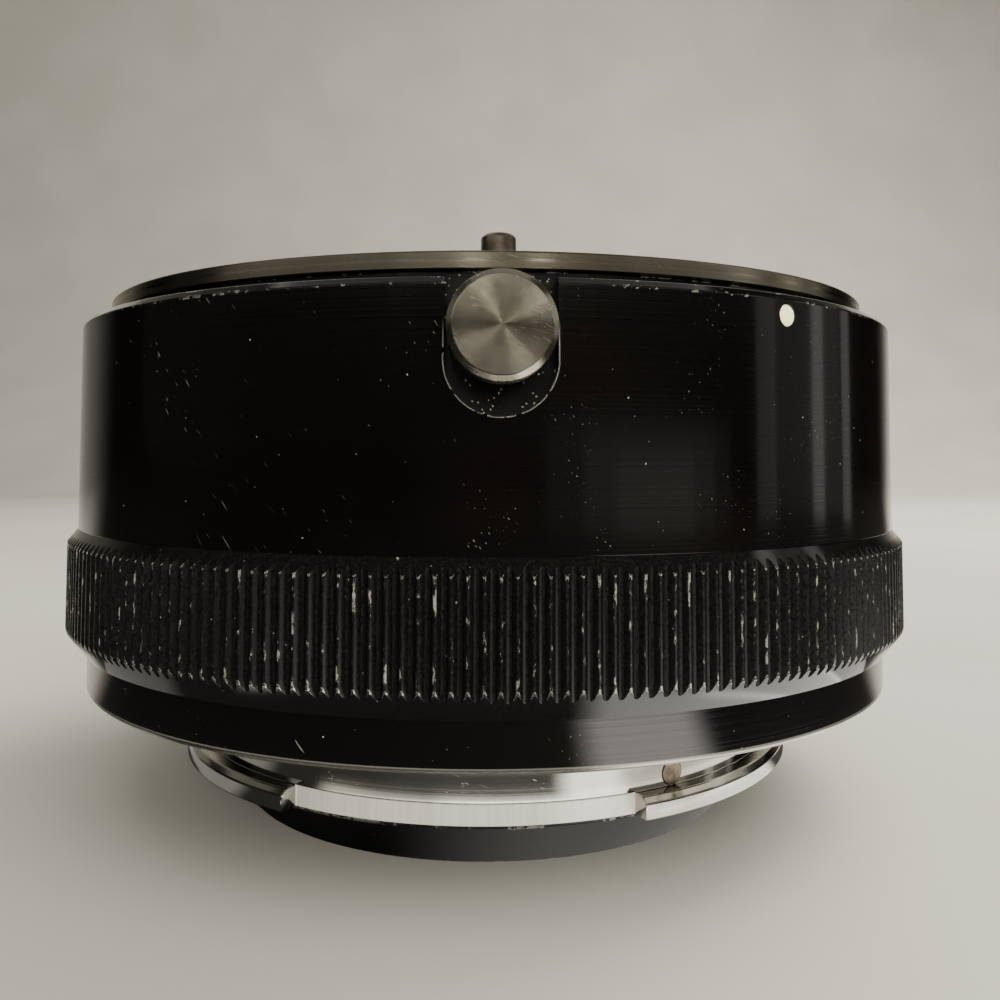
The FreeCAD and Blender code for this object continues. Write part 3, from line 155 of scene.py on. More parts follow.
def roundNormals(piece, axis):
    # Turned faces shade as the round surface that they stand for, and the rest by angle
    along = axis[1]
    mesh = piece.data
    shadeSmooth(piece)
    mesh.set_sharp_from_angle(angle=math.radians(meshing["sharpFrom"]))
    normals = [Vector(corner.vector) for corner in mesh.corner_normals]
    for polygon in mesh.polygons:
        out = outwards(polygon.center, axis)
        if abs(polygon.normal.dot(along.cross(out))) > meshing["sideways"]:
            continue
        reach = polygon.normal.dot(out)
        rise = polygon.normal.dot(along)
        for loop in polygon.loop_indices:
            point = mesh.vertices[mesh.loops[loop].vertex_index].co
            if abs(reach) > meshing["level"]:
                normals[loop] = (outwards(point, axis) * reach + along * rise).normalized()
            else:
                normals[loop] = polygon.normal.copy()
    mesh.normals_split_custom_set(normals)


def finishPiece(piece, material, body, node, axis=opticalAxis):
    piece.data.materials.clear()
    piece.data.materials.append(material)
    roundNormals(piece, axis)
    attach(piece, body)
    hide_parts(node)


def rodCutter(radius, low, high, axis, steps=64):
    return turnedObject("cutter", [(0, low), (radius, low), (radius, high), (0, high)], steps, axis=axis)


def sectorCutter(inner, outer, low, high, angle, azimuth, steps=48):
    outline = [(inner, low), (outer, low), (outer, high), (inner, high)]
    return turnedObject("cutter", outline, steps, angle=angle, azimuth=azimuth)


def blockCutter(low, high):
    bm = bmesh.new()
    bmesh.ops.create_cube(bm, size=1)
    low = Vector(low) * mm
    high = Vector(high) * mm
    bmesh.ops.scale(bm, vec=high - low, verts=bm.verts)
    bmesh.ops.translate(bm, vec=(high + low) / 2, verts=bm.verts)
    return asObject("cutter", bm)


# Colours and patterns

smoothly = {"interpolation_type": "SMOOTHSTEP"}  # a range that eases in and out


def hexColour(code):
    channels = [int(code[place:place + 2], 16) / 255 for place in (1, 3, 5)]
    linear = [value / 12.92 if value <= 0.04045 else ((value + 0.055) / 1.055) ** 2.4 for value in channels]
    return (*linear, 1.0)


def patternScale(sizeMm):
    return 1000 / sizeMm  # Object coordinates are metres, so this many features of that size


def addNode(tree, kind, inputs=(), **settings):
    # A kind in capitals is a Math node's operation. Inputs are a list in the node's order, or go
    # by name or place. Each is a plain value, a hex colour, a socket, or a node that stands for
    # its first output
    if kind.isupper():
        kind, settings = "Math", {"operation": kind}
    node = tree.nodes.new("ShaderNode" + kind)
    for name, value in settings.items():
        setattr(node, name, value)
    pairs = inputs.items() if isinstance(inputs, dict) else enumerate(inputs)
    for name, value in pairs:
        if isinstance(value, bpy.types.Node):
            value = value.outputs[0]
        if isinstance(value, str):
            value = hexColour(value)
        if isinstance(value, bpy.types.NodeSocket):
            tree.links.new(value, node.inputs[name])
        else:
            node.inputs[name].default_value = value
    return node


def emptyTree(owner):
    # Returns the function that adds a node to the tree of a material or world
    owner.use_nodes = True
    owner.node_tree.nodes.clear()
    return partial(addNode, owner.node_tree)


def newFinish(name):
    material = bpy.data.materials.new(name)
    add = emptyTree(material)
    return material, add, add("TexCoord").outputs["Object"]


def addShader(add, inputs):
    shader = add("BsdfPrincipled", inputs)
    add("OutputMaterial", {"Surface": shader})


def layered(add, colour, *coats):
    # A colour with others laid over it in turn, each coat given as its share and its colour
    for share, coat in coats:
        colour = add("Mix", {0: share, 6: colour, 7: coat}, data_type="RGBA").outputs[2]
    return colour


def allOf(add, first, *others):
    # Where every mask holds
    for mask in others:
        first = add("MULTIPLY", [first, mask])
    return first


def anyOf(add, first, *others):
    # Where at least one mask holds
    for mask in others:
        first = add("MAXIMUM", [first, mask])
    return first


def hypotenuse(add, first, second):
    squares = [allOf(add, side, side) for side in (first, second)]
    total = add("ADD", squares)
    return add("SQRT", [total])


def radiusAndHeight(add, place):
    x, y, z = add("SeparateXYZ", [place]).outputs
    return hypotenuse(add, x, y), z


def latheTangent(add, place, axis=opticalAxis):
    # Direction of the turning marks round an axis
    foot, along = axis
    arm = add("VectorMath", [place, foot], operation="SUBTRACT")
    return add("VectorMath", [along, arm], operation="CROSS_PRODUCT")


def smeared(add, place, amount, axis=opticalAxis):
    # A highlight is smeared across turning marks, so it fans out on end faces and runs along
    # walls. Blender smears along the tangent, so the tangent gets a quarter turn
    return {"Anisotropic": amount, "Anisotropic Rotation": 0.25, "Tangent": latheTangent(add, place, axis)}


def latheMarks(add, place, pitch, axis=opticalAxis):
    # Fine rings round an axis, one value per ring on walls, cones and end faces alike
    foot, along = axis
    arm = add("VectorMath", [place, foot], operation="SUBTRACT")
    height = add("VectorMath", [arm, along], operation="DOT_PRODUCT").outputs["Value"]
    tangent = latheTangent(add, place, axis)
    radius = add("VectorMath", [tangent], operation="LENGTH").outputs["Value"]
    spot = add("ADD", [radius, height])
    spot = add("MULTIPLY", [spot, patternScale(pitch)])
    return add("TexNoise", {"W": spot, "Scale": 1.0, "Detail": 2.0}, noise_dimensions="1D")


def specks(add, place, spacing, size, share, shift=(0, 0, 0)):
    # Dust grains and pinholes: points of a loose grid that happen to lie on the surface
    warp = add("TexNoise", {"Vector": place, "Scale": patternScale(size * 3), "Detail": 2.0})
    shifted = add("Mapping", {"Vector": place, "Location": shift})
    bent = add("VectorMath", [warp.outputs["Color"], (size * mm * 2,) * 3, shifted], operation="MULTIPLY_ADD")
    grid = add("TexVoronoi", {"Vector": bent, "Scale": patternScale(spacing)})
    near = add("MapRange", [grid, size / spacing, size / spacing * 0.5], **smoothly)
    drawn = add("SeparateColor", [grid.outputs["Color"]])
    return allOf(add, near, add("LESS_THAN", [drawn, share]))


def hairlines(add, place, long, width, share, turned=(20, 35, 15)):
    # Thin straight scratches: needles of noise that is stretched one way, in loose groups
    angles = [math.radians(angle) for angle in turned]
    spot = add("Mapping", {"Vector": place, "Rotation": angles})
    scale = (patternScale(width), patternScale(width), patternScale(long))
    spot = add("Mapping", {"Vector": spot, "Scale": scale})
    needles = add("TexNoise", {"Vector": spot, "Scale": 1.0, "Detail": 0.0})
    groups = add("TexNoise", {"Vector": place, "Scale": patternScale(long * 1.6), "Detail": 1.0})
    needles = add("MapRange", [needles, 1 - share, 1 - share + 0.06], **smoothly)
    groups = add("MapRange", [groups, 0.5, 0.62], **smoothly)
    return allOf(add, needles, groups)


def edgeWear(add, place, look):
    # Bare metal along turned edges, each given as radius and height in mm
    radius, height = radiusAndHeight(add, place)
    reach = look["wearReach"] * mm
    bands = []
    for cornerRadius, cornerHeight in look["wornEdges"]:
        side = add("SUBTRACT", [radius, cornerRadius * mm])
        rise = add("SUBTRACT", [height, cornerHeight * mm])
        gap = hypotenuse(add, side, rise)
        bands.append(add("MapRange", [gap, reach, reach * 0.35], **smoothly))
    fine = patternScale(look["wearGrain"])
    grains = add("TexNoise", {"Vector": place, "Scale": fine, "Detail": 4.0, "Roughness": 0.65})
    patches = add("TexNoise", {"Vector": place, "Scale": fine / 9, "Detail": 2.0})
    mixed = add("MULTIPLY", [patches, 0.4])
    mixed = add("MULTIPLY_ADD", [grains, 0.6, mixed])
    rubbedFrom = 1 - look["wearShare"]
    rubbed = add("MapRange", [mixed, rubbedFrom, rubbedFrom + 0.04], **smoothly)
    return allOf(add, anyOf(add, *bands), rubbed)


def recessMarks(add, place, look):
    # The button's milled recess: a line of bare metal along its rim outside, partly rubbed and partly a
    # painted highlight on its sharp edge, and a mask of its floor
    x, y, z = add("SeparateXYZ", [place]).outputs
    rise = add("SUBTRACT", [z, look["recessHeight"] * mm])
    low = add("MINIMUM", [rise, 0.0])
    reach = hypotenuse(add, x, low)
    radius = hypotenuse(add, x, y)
    front = add("LESS_THAN", [y, 0.0])
    onSkin = add("GREATER_THAN", [radius, look["recessSkin"] * mm])
    sunk = add("LESS_THAN", [radius, look["recessSkin"] * mm])
    within = add("LESS_THAN", [reach, (look["recessRadius"] + look["rimLine"]) * mm])
    gap = add("SUBTRACT", [reach, look["recessRadius"] * mm])
    gap = add("ABSOLUTE", [gap])
    # The rim line: partly rubbed metal, partly a painted highlight along the recess edge
    line = add("MapRange", [gap, look["rimSoft"] * mm, look["rimLine"] * mm], **smoothly)
    fading = add("MapRange", [rise, look["rimTop"] * mm, look["rimFull"] * mm], **smoothly)
    rubbed = add("TexNoise", {"Vector": place, "Scale": patternScale(look["rimGrain"]), "Detail": 4.0})
    rubbed = add("MapRange", [rubbed, 0.38, 0.5], **smoothly)
    return allOf(add, line, front, onSkin, fading, rubbed), allOf(add, within, front, sunk)


# Finishes

def blackAnodised(name, look):
    # Aluminium, turned and dyed black: deep gloss with rings too fine to see, which smear
    # reflections lengthwise, grey dust grains, hair scratches and bare metal on its edges
    material, add, place = newFinish(name)
    rings = latheMarks(add, place, look["ringPitch"])
    clouds = add("TexNoise", {"Vector": place, "Scale": patternScale(look["cloudSize"]), "Detail": 3.0})
    clouds = add("MapRange", [clouds, 0.35, 0.7], **smoothly)
    dust = specks(add, place, look["dustSpacing"], look["dustSize"], 0.9)
    grit = specks(add, place, look["gritSpacing"], look["gritSize"], 0.8, (0.01, 0.02, 0.03))
    dirt = anyOf(add, dust, grit)
    scratch = hairlines(add, place, look["scratchLong"], look["scratchWidth"], look["scratchShare"])
    worn = edgeWear(add, place, look)
    coats = [(clouds, look["faded"]), (allOf(add, scratch, 0.5), look["scratched"]),
             (allOf(add, dirt, 0.75), look["dust"])]
    finest = look["roughness"] - 0.03
    coarsest = look["roughness"] + 0.05
    rough = add("MapRange", [rings, 0.3, 0.7, finest, coarsest], **smoothly)
    rough = add("MULTIPLY_ADD", [dirt, 0.5, rough])
    if "recessRadius" in look:
        rimWearAndHighlight, floor = recessMarks(add, place, look)
        # The rim line joins the worn metal: partly rubbing, partly a painted highlight on the recess edge
        worn = anyOf(add, worn, rimWearAndHighlight)
        crumbs = specks(add, place, look["crumbSpacing"], look["crumbSize"], 0.9, (0.004, 0.002, 0.001))
        coats.append((allOf(add, crumbs, floor), look["crumb"]))
        rough = add("MULTIPLY_ADD", [floor, 0.35, rough])
    coats.append((worn, look["bare"]))
    rough = add("MULTIPLY_ADD", [worn, 0.12, rough])
    relief = add("MULTIPLY_ADD", [rings, 0.25, dust])
    bump = add("Bump", {"Height": relief, "Strength": look["relief"], "Distance": 0.004 * mm})
    addShader(add, {"Base Color": layered(add, look["dye"], *coats), "Metallic": worn, "Roughness": rough,
                    "IOR": look["ior"], "Normal": bump, **smeared(add, place, look["smear"])})
    return material


def knurledBlack(name, look):
    # The same dyed aluminium with straight knurling: black flanks, thin crests rubbed through
    # to bright metal in places, chipped tooth ends, dust in the grooves and smooth glossy cones
    material, add, place = newFinish(name)
    crest, tip, cone = [add("Attribute", attribute_name=mark).outputs["Fac"]
                        for mark in ("crest", "tip", "cone")]
    stretched = add("Mapping", {"Vector": place, "Scale": (1, 1, 0.45)})
    rubbed = add("TexNoise", {"Vector": stretched, "Scale": patternScale(look["rubSize"]), "Detail": 5.0,
                              "Roughness": 0.75})
    grains = add("TexNoise", {"Vector": place, "Scale": patternScale(look["grainSize"]), "Detail": 3.0,
                              "Roughness": 0.7})
    chips = allOf(add, tip, add("ADD", [grains, 0.5]))
    chips = add("MapRange", [chips, look["tipFrom"], look["tipFrom"] + 0.12], **smoothly)
    crest = add("MapRange", [crest, 0.7, 0.95], **smoothly)
    rubbed = add("MapRange", [rubbed, look["crestFrom"], look["crestFrom"] + 0.1, 0, look["crestShine"]],
                 **smoothly)
    worn = anyOf(add, chips, allOf(add, crest, rubbed))
    dust = anyOf(add, specks(add, place, 0.8, 0.05, 0.7), specks(add, place, 2.4, 0.11, 0.5, (0.02, 0, 0)))
    fading = add("MapRange", [grains, 0.45, 0.75], **smoothly)
    colour = layered(add, look["dye"], (fading, look["faded"]), (allOf(add, dust, 0.5), look["dust"]),
                     (worn, look["bare"]))
    finest = look["roughness"] - 0.05
    coarsest = look["roughness"] + 0.12
    matt = add("MapRange", [grains, 0.3, 0.7, finest, coarsest], **smoothly)
    rough = add("Mix", {0: cone, 2: matt, 3: look["coneRoughness"]})
    bump = add("Bump", {"Height": grains, "Strength": 0.12, "Distance": 0.01 * mm})
    addShader(add, {"Base Color": colour, "Metallic": worn, "Roughness": rough, "IOR": look["ior"],
                    "Normal": bump, **smeared(add, place, look["smear"])})
    return material


def turnedChrome(name, look, axis=opticalAxis):
    # Chrome plate over turned brass: the rings fan a highlight out from the middle, with faint
    # stains, pinholes and scratches. The neck has a pale band between its lugs, under bandTop
    # and inside bandRadius, which diffuses more and has upright marks
    material, add, place = newFinish(name)
    rings = latheMarks(add, place, look["ringPitch"], axis)
    radius, height = radiusAndHeight(add, place)
    band = allOf(add, add("LESS_THAN", [height, look["bandTop"] * mm]),
                 add("LESS_THAN", [radius, look["bandRadius"] * mm]))
    stretched = add("Mapping", {"Vector": place, "Scale": (1, 1, 0.03)})
    upright = add("TexNoise", {"Vector": stretched, "Scale": patternScale(look["bandMarks"]), "Detail": 3.0})
    stains = add("TexNoise", {"Vector": place, "Scale": patternScale(look["stainSize"]), "Detail": 4.0})
    stains = add("MapRange", [stains, 0.35, 0.7], **smoothly)
    pits = specks(add, place, look["pitSpacing"], look["pitSize"], 0.85)
    long = look["scratchLong"]
    share = look["scratchShare"]
    scratch = anyOf(add, hairlines(add, place, long, 0.06, share, (0, 62, 0)),
                    hairlines(add, place, long, 0.05, share - 0.02, (0, 75, 8)))
    bandColour = layered(add, "#fffef8", (upright, "#dddbd2"))
    colour = layered(add, look["plate"], (stains, look["stain"]),
                     (allOf(add, rings, look["ringShade"]), look["stain"]),
                     (anyOf(add, scratch, allOf(add, pits, 0.9)), "#f2f0ea"), (band, bandColour))
    finest = look["roughness"] * (1 - look["ringMatt"])
    coarsest = look["roughness"] * (1 + look["ringMatt"])
    rough = add("MapRange", [rings, 0.25, 0.75, finest, coarsest], **smoothly)
    dulled = anyOf(add, pits, scratch, band)
    rough = add("MULTIPLY_ADD", [dulled, 0.25, rough])
    marks = add("SUBTRACT", [rings, pits])
    marks = add("Mix", {0: band, 2: marks, 3: upright})
    bump = add("Bump", {"Height": marks, "Strength": look["relief"], "Distance": 0.01 * mm})
    metallic = add("MULTIPLY_ADD", [band, -look["bandDiffuse"], 1.0])
    addShader(add, {"Base Color": colour, "Metallic": metallic, "Roughness": rough, "Normal": bump,
                    **smeared(add, place, look["smear"], axis)})
    return material


def mattBlack(name, look):
    # Black paint or anodising without gloss, inside the tube: swallows light, a fine grain
    material, add, place = newFinish(name)
    grains = add("TexNoise", {"Vector": place, "Scale": patternScale(look["grain"]), "Detail": 4.0})
    light = add("MapRange", [grains, 0.3, 0.8], **smoothly)
    dust = allOf(add, specks(add, place, 1.4, 0.08, 0.7), 0.5)
    colour = layered(add, look["dark"], (light, look["light"]), (dust, look["dust"]))
    coarsest = look["roughness"] + 0.12
    rough = add("MapRange", [grains, 0.3, 0.8, look["roughness"], coarsest], **smoothly)
    bump = add("Bump", {"Height": grains, "Strength": 0.3, "Distance": 0.02 * mm})
    addShader(add, {"Base Color": colour, "Roughness": rough, "IOR": look["ior"], "Normal": bump})
    return material


def plainMetal(name, filmSize, bare, dull, roughness):
    # Steel or brass small parts: drawn or turned bare metal, dulled by handling
    material, add, place = newFinish(name)
    film = add("TexNoise", {"Vector": place, "Scale": patternScale(filmSize), "Detail": 5.0})
    grain = add("TexNoise", {"Vector": place, "Scale": patternScale(0.12), "Detail": 3.0})
    dulled = add("MapRange", [film, 0.35, 0.7], **smoothly)
    rough = add("MapRange", [film, 0.3, 0.75, roughness, roughness + 0.15], **smoothly)
    bump = add("Bump", {"Height": grain, "Strength": 0.15, "Distance": 0.01 * mm})
    addShader(add, {"Base Color": layered(add, bare, (dulled, dull)), "Metallic": 1.0, "Roughness": rough,
                    "Normal": bump})
    return material


def creamEnamel(name, look):
    # Stove enamel run into a shallow hole: creamy, slightly glossy, a little uneven
    material, add, place = newFinish(name)
    flow = add("TexNoise", {"Vector": place, "Scale": patternScale(look["flow"]), "Detail": 3.0})
    deep = add("MapRange", [flow, 0.3, 0.75], **smoothly)
    rough = add("MapRange", [flow, 0.3, 0.7, 0.35, 0.5], **smoothly)
    bump = add("Bump", {"Height": flow, "Strength": 0.2, "Distance": 0.03 * mm})
    colour = layered(add, look["cream"], (deep, look["deep"]))
    addShader(add, {"Base Color": colour, "Roughness": rough, "IOR": 1.52, "Coat Weight": 0.3,
                    "Coat Roughness": 0.15, "Normal": bump})
    return material


# What each finish looks like. Sizes of patterns are in mm. Real tool rings are about 0.05 mm
# apart, and each ringPitch is drawn coarser than that, so that the rings show
turnedBlack = {
    "dye": "#050404", "faded": "#090706", "cloudSize": 14, "roughness": 0.1, "ior": 1.55, "smear": 0.5,
    "ringPitch": 0.12, "relief": 0.1, "dust": "#a9a69c", "dustSpacing": 1.4, "dustSize": 0.055,
    "gritSpacing": 0.63, "gritSize": 0.02475,
    "scratched": "#8a877f", "scratchLong": 2.5, "scratchWidth": 0.07, "scratchShare": 0.2,
    "bare": "#b9b6ad", "wearReach": 0.14, "wearGrain": 0.35, "wearShare": 0.45,
}
barrelLook = dict(
    turnedBlack, wornEdges=((31.3, 25.4), (30.9, 25.8), (28.9, 26.5)),
    # The recess rim line (rimLine, rimSoft, rimTop, rimFull, rimGrain) is bare metal, partly rubbing and
    # partly a painted highlight
    recessRadius=2.98, recessHeight=21.45, recessSkin=31.2, rimLine=0.02, rimSoft=0.09, rimTop=2.2,
    rimFull=-0.3, rimGrain=0.5, crumb="#8f8b74", crumbSpacing=0.3, crumbSize=0.06)
ringLook = dict(turnedBlack, ior=1.85, roughness=0.12, wearReach=0.2, wearShare=0.8,
                wornEdges=((30.53, 0.3), (30.33, 0.1)))
lipLook = dict(turnedBlack, dye="#0b0a0a", faded="#141312", roughness=0.3,
               wornEdges=((22.1, -5.75), (18.9, -9.0)))
gripLook = {
    "dye": "#090908", "faded": "#191816", "dust": "#98958c", "bare": "#dcdad2", "ior": 1.6, "smear": 0.4,
    "roughness": 0.3, "coneRoughness": 0.07, "rubSize": 0.55, "grainSize": 0.16, "crestFrom": 0.56,
    "crestShine": 0.7, "tipFrom": 0.7,
}
flangeLook = {
    "plate": "#aeaa9b", "stain": "#968f7d", "stainSize": 9, "roughness": 0.3, "smear": 0.75, "relief": 0.25,
    "ringPitch": 0.25, "ringShade": 0.35, "ringMatt": 0.27, "pitSpacing": 1.6, "pitSize": 0.05,
    "scratchLong": 2.0, "scratchShare": 0.22, "bandTop": -100, "bandRadius": 0, "bandMarks": 0.3,
    "bandDiffuse": 0.65,
}
neckLook = dict(flangeLook, plate="#c9c9c4", stain="#adaba0", roughness=0.1, smear=0.15, relief=0.08,
                ringPitch=0.2, ringShade=0.2, bandTop=-4.27, bandRadius=22.28)
buttonLook = dict(flangeLook, plate="#cbc6b6", stain="#aaa491", stainSize=2.5, roughness=0.27, smear=0.85,
                  relief=0.0, ringPitch=0.09, ringShade=0.0, ringMatt=0.0, pitSpacing=0.9, pitSize=0.035,
                  scratchLong=1.2, scratchShare=0.26)
insideLook = {"grain": 0.15, "dark": "#070707", "light": "#121110", "dust": "#8f8c84", "roughness": 0.55,
              "ior": 1.5}
enamelLook = {"flow": 0.5, "cream": "#fffbdc", "deep": "#fff3ba"}
buttonAxis = outwardAxis(0, 23)
finishes = {
    "barrel": blackAnodised("blackAnodisedBarrel", barrelLook),
    "ring": blackAnodised("blackAnodisedRing", ringLook),
    "grip": knurledBlack("blackAnodisedKnurl", gripLook),
    "lip": blackAnodised("satinBlackLip", lipLook),
    "flange": turnedChrome("turnedChromeFlange", flangeLook),
    "neck": turnedChrome("turnedChromeNeck", neckLook),
    "button": turnedChrome("turnedChromeButton", buttonLook, buttonAxis),
    "inside": mattBlack("mattBlackInside", insideLook),
    "steel": plainMetal("bareSteel", filmSize=1.2, bare="#a8a397", dull="#85796a", roughness=0.3),
    "screwSteel": plainMetal("platedScrews", filmSize=1.5, bare="#b5b2aa", dull="#8d897e", roughness=0.25),
    "spring": plainMetal("springSteel", filmSize=2.0, bare="#8b8a86", dull="#5d5b57", roughness=0.3),
    "pin": plainMetal("brownedPin", filmSize=0.9, bare="#968a7a", dull="#75695c", roughness=0.35),
    "brass": plainMetal("turnedBrass", filmSize=2.0, bare="#b8975a", dull="#8a6d3c", roughness=0.3),
    "dot": creamEnamel("creamEnamel", enamelLook),
}
print("finishes made:", len(finishes))

# Barrel
pinPlace = 26.5  # radius at which the lock pin stands
dotAxis = outwardAxis(31.9, 24.5)
barrel = {"segments": 288, "bevel": 0.05,
          "outline": [(21.0, 1.6), (29.6, 1.6), (29.6, 11.3), (31.3, 11.3), (31.3, 25.4), (30.9, 25.8),
                      (28.9, 25.8), (28.9, 26.5), (28.05, 26.5), (28.05, 24.6), (24.2, 24.6), (24.2, 21.0),
                      (28.4, 21.0), (28.4, 4.6), (21.0, 4.6)],
          "past": 33.3,  # cutters start outside the skin
          "recessRadius": 2.98, "recessFloor": 29.95, "recessLow": 21.45, "recessOpen": 27, "recessSteps": 96,
          "slotHalf": 1.15, "slotLow": 20.2, "slotHigh": 24.6,
          "boreRadius": 1.55, "boreLow": 20, "boreHigh": 25, "dotRadius": 0.67, "dotFloor": 30.95}


def makeBarrel():
    piece = turnedObject("barrelShell", barrel["outline"], barrel["segments"], barrel["bevel"])
    channel = blockCutter((-barrel["recessRadius"], -barrel["past"], barrel["recessLow"]),
                          (barrel["recessRadius"], -barrel["recessFloor"], barrel["recessOpen"]))
    recess = rodCutter(barrel["recessRadius"], barrel["recessFloor"], barrel["past"],
                       outwardAxis(0, barrel["recessLow"]), barrel["recessSteps"])
    carve(recess, [channel], "UNION")
    stemSlot = blockCutter((-barrel["slotHalf"], -barrel["past"], barrel["slotLow"]),
                           (barrel["slotHalf"], -pinPlace, barrel["slotHigh"]))
    pinBore = rodCutter(barrel["boreRadius"], barrel["boreLow"], barrel["boreHigh"], uprightAxis(0, pinPlace))
    dotHole = rodCutter(barrel["dotRadius"], barrel["dotFloor"], barrel["past"], dotAxis)
    carve(piece, [recess, stemSlot, pinBore, dotHole])
    finishPiece(piece, finishes["barrel"], "tube", "main_barrel")


makeBarrel()
print("barrel made")

# Grip: one tooth as a strip of columns, then 240 of them round the axis
grip = {"teeth": 240, "crest": 31.97, "groove": 31.61, "flankFoot": 0.035, "crestRound": 0.03,
        "offsets": (-0.5, -0.34, -0.1, -0.06, 0.06, 0.1, 0.34, 0.5),  # columns of a tooth, in pitches
        "crests": (0, 0, 0.8, 1, 1, 0.8, 0, 0),  # how far each column belongs to the crest
        "low": 2.95, "lowRadius": 30.8, "fullLow": 4.5, "fullHigh": 10.4, "high": 11.3, "highRadius": 31.3,
        "inside": 29.65, "chip": 0.07, "chipLong": 0.5,
        "flankWear": 0.55, "crestWear": 0.45, "topWear": 0.8}  # how easily tooth ends chip


def toothColumn(radius, crest):
    # Radius, height, and three marks for the finish: on the tooth's face, worn tip, smooth cone
    lowSlope = (grip["fullLow"] - grip["low"]) / (grip["crest"] - grip["lowRadius"])
    highSlope = (grip["high"] - grip["fullHigh"]) / (grip["crest"] - grip["highRadius"])
    bottom = grip["low"] + (radius - grip["lowRadius"]) * lowSlope
    top = grip["high"] - (radius - grip["highRadius"]) * highSlope
    step = grip["chip"]
    lowWear = grip["flankWear"] + grip["crestWear"] * crest
    topWear = grip["topWear"] * lowWear
    return [
        (grip["inside"], grip["low"], 0, 0, 1),
        (grip["lowRadius"], grip["low"], 0, 0, 1),
        (radius - step, bottom - step * lowSlope, 0, 0, 1),
        (radius, bottom, 0, lowWear, 1),
        (radius, bottom + step, 1, lowWear if crest else 0, 0),
        (radius, bottom + grip["chipLong"], 1, 0, 0),
        (radius, top - grip["chipLong"], 1, 0, 0),
        (radius, top - step, 1, topWear if crest else 0, 0),
        (radius, top, 0, topWear, 1),
        (radius - step / 2, top + step / 2 * highSlope, 0, 0, 1),
        (grip["highRadius"], grip["high"], 0, 0, 1),
        (grip["inside"], grip["high"], 0, 0, 1),
    ]


def makeGrip():
    bm = bmesh.new()
    crestLayer, tipLayer, coneLayer = [bm.verts.layers.float.new(mark) for mark in ("crest", "tip", "cone")]
    radii = (grip["groove"], grip["groove"] + grip["flankFoot"],
             grip["crest"] - grip["crestRound"], grip["crest"])
    pitch = 360 / grip["teeth"]
    columns = []
    for offset, radius, crest in zip(grip["offsets"], radii + radii[::-1], grip["crests"]):
        verts = []
        for reach, height, face, tip, cone in toothColumn(radius, crest):
            vert = bm.verts.new(around(offset * pitch, reach, height))
            vert[crestLayer] = crest * face
            vert[tipLayer] = tip
            vert[coneLayer] = cone
            verts.append(vert)
        columns.append([bm.edges.new(pair) for pair in zip(verts, verts[1:])])
    for left, right in zip(columns, columns[1:]):
        bmesh.ops.bridge_loops(bm, edges=left + right)
    bmesh.ops.spin(bm, geom=bm.verts[:] + bm.edges[:] + bm.faces[:], cent=(0, 0, 0), axis=(0, 0, 1),
                   angle=math.radians(360 - pitch), steps=grip["teeth"] - 1, use_duplicate=True)
    clean(bm)
    bmesh.ops.bridge_loops(bm, edges=[edge for edge in bm.edges if edge.is_boundary])
    bmesh.ops.recalc_face_normals(bm, faces=bm.faces)
    finishPiece(asObject("knurledGrip", bm), finishes["grip"], "tube", "grip_ring")


makeGrip()
print("grip made")


# Rings turned in one piece

def makeTurned(name, sizes, finish, node, segments=288, bosses=(), cutters=()):
    piece = turnedObject(name, sizes["outline"], segments, sizes["bevel"])
    carve(piece, bosses, "UNION")
    carve(piece, cutters)
    finishPiece(piece, finish, "tube", node)


def makeBosses(outline, angle, bevel):
    # The three lugs of one side or the three tabs of the other
    return [turnedObject("boss", outline, round(angle), bevel, angle=angle, azimuth=azimuth)
            for azimuth in lugAzimuths]


def countersinks(face, heading):
    # Heading is 1 where the screws go up into the piece from a face, and -1 where they go down
    depth = mounting["headRadius"] - mounting["screwRadius"]
    wide = mounting["headRadius"] + mounting["sink"] + mounting["lead"]
    outline = [(0, -mounting["lead"]), (wide, -mounting["lead"]),
               (mounting["screwRadius"], depth + mounting["sink"]),
               (mounting["screwRadius"], mounting["holeDepth"]), (0, mounting["holeDepth"])]
    return [turnedObject("cutter", outline, mounting["sides"],
                         axis=uprightAxis(azimuth, mounting["screwPlace"], face, heading))
            for azimuth in screwAzimuths]


rearRing = {"bevel": 0.05, "outline": [(28.85, 0.1), (30.33, 0.1), (30.53, 0.3), (30.53, 2.95), (29.65, 2.95),
                                       (29.65, 1.6), (28.85, 1.6)]}
makeTurned("rearRing", rearRing, finishes["ring"], "rear_ring")

mounting = {"screws": 5, "firstScrew": 36, "screwPlace": 26.4, "screwRadius": 0.88, "headRadius": 1.73,
            "sink": 0.05, "lead": 0.5, "holeDepth": 4, "sides": 48, "lugs": 3, "firstLug": 54.5}
screwAzimuths = [mounting["firstScrew"] + 360 / mounting["screws"] * index
                 for index in range(mounting["screws"])]
lugAzimuths = [mounting["firstLug"] + 360 / mounting["lugs"] * index for index in range(mounting["lugs"])]
cameraSide = {"bevel": 0.06, "face": 0, "lugBevel": 0.08, "lugAngle": 63,
              "outline": [(20.6, 1.6), (28.8, 1.6), (28.8, 0), (22.3, 0), (22.3, -4.25), (22.18, -4.3),
                          (22.18, -5.6), (20.6, -5.6)],
              "lugOutline": [(21.1, -4.25), (23.15, -4.25), (23.5, -4.6), (23.5, -5.6), (21.1, -5.6)],
              "lockHole": {"radius": 1.3, "low": -1, "high": 2},
              "pinHole": {"radius": 0.8 + 0.03, "low": 20, "high": 24}}  # the stop pin and its clearance
stopAxis = outwardAxis(30.3, -3.45)
makeTurned("cameraBayonet", cameraSide, finishes["neck"], "camera_bayonet",
           bosses=makeBosses(cameraSide["lugOutline"], cameraSide["lugAngle"], cameraSide["lugBevel"]),
           cutters=countersinks(cameraSide["face"], 1)
           + [rodCutter(**cameraSide["lockHole"], axis=uprightAxis(0, pinPlace)),
              rodCutter(**cameraSide["pinHole"], axis=stopAxis)])
print("camera side made")

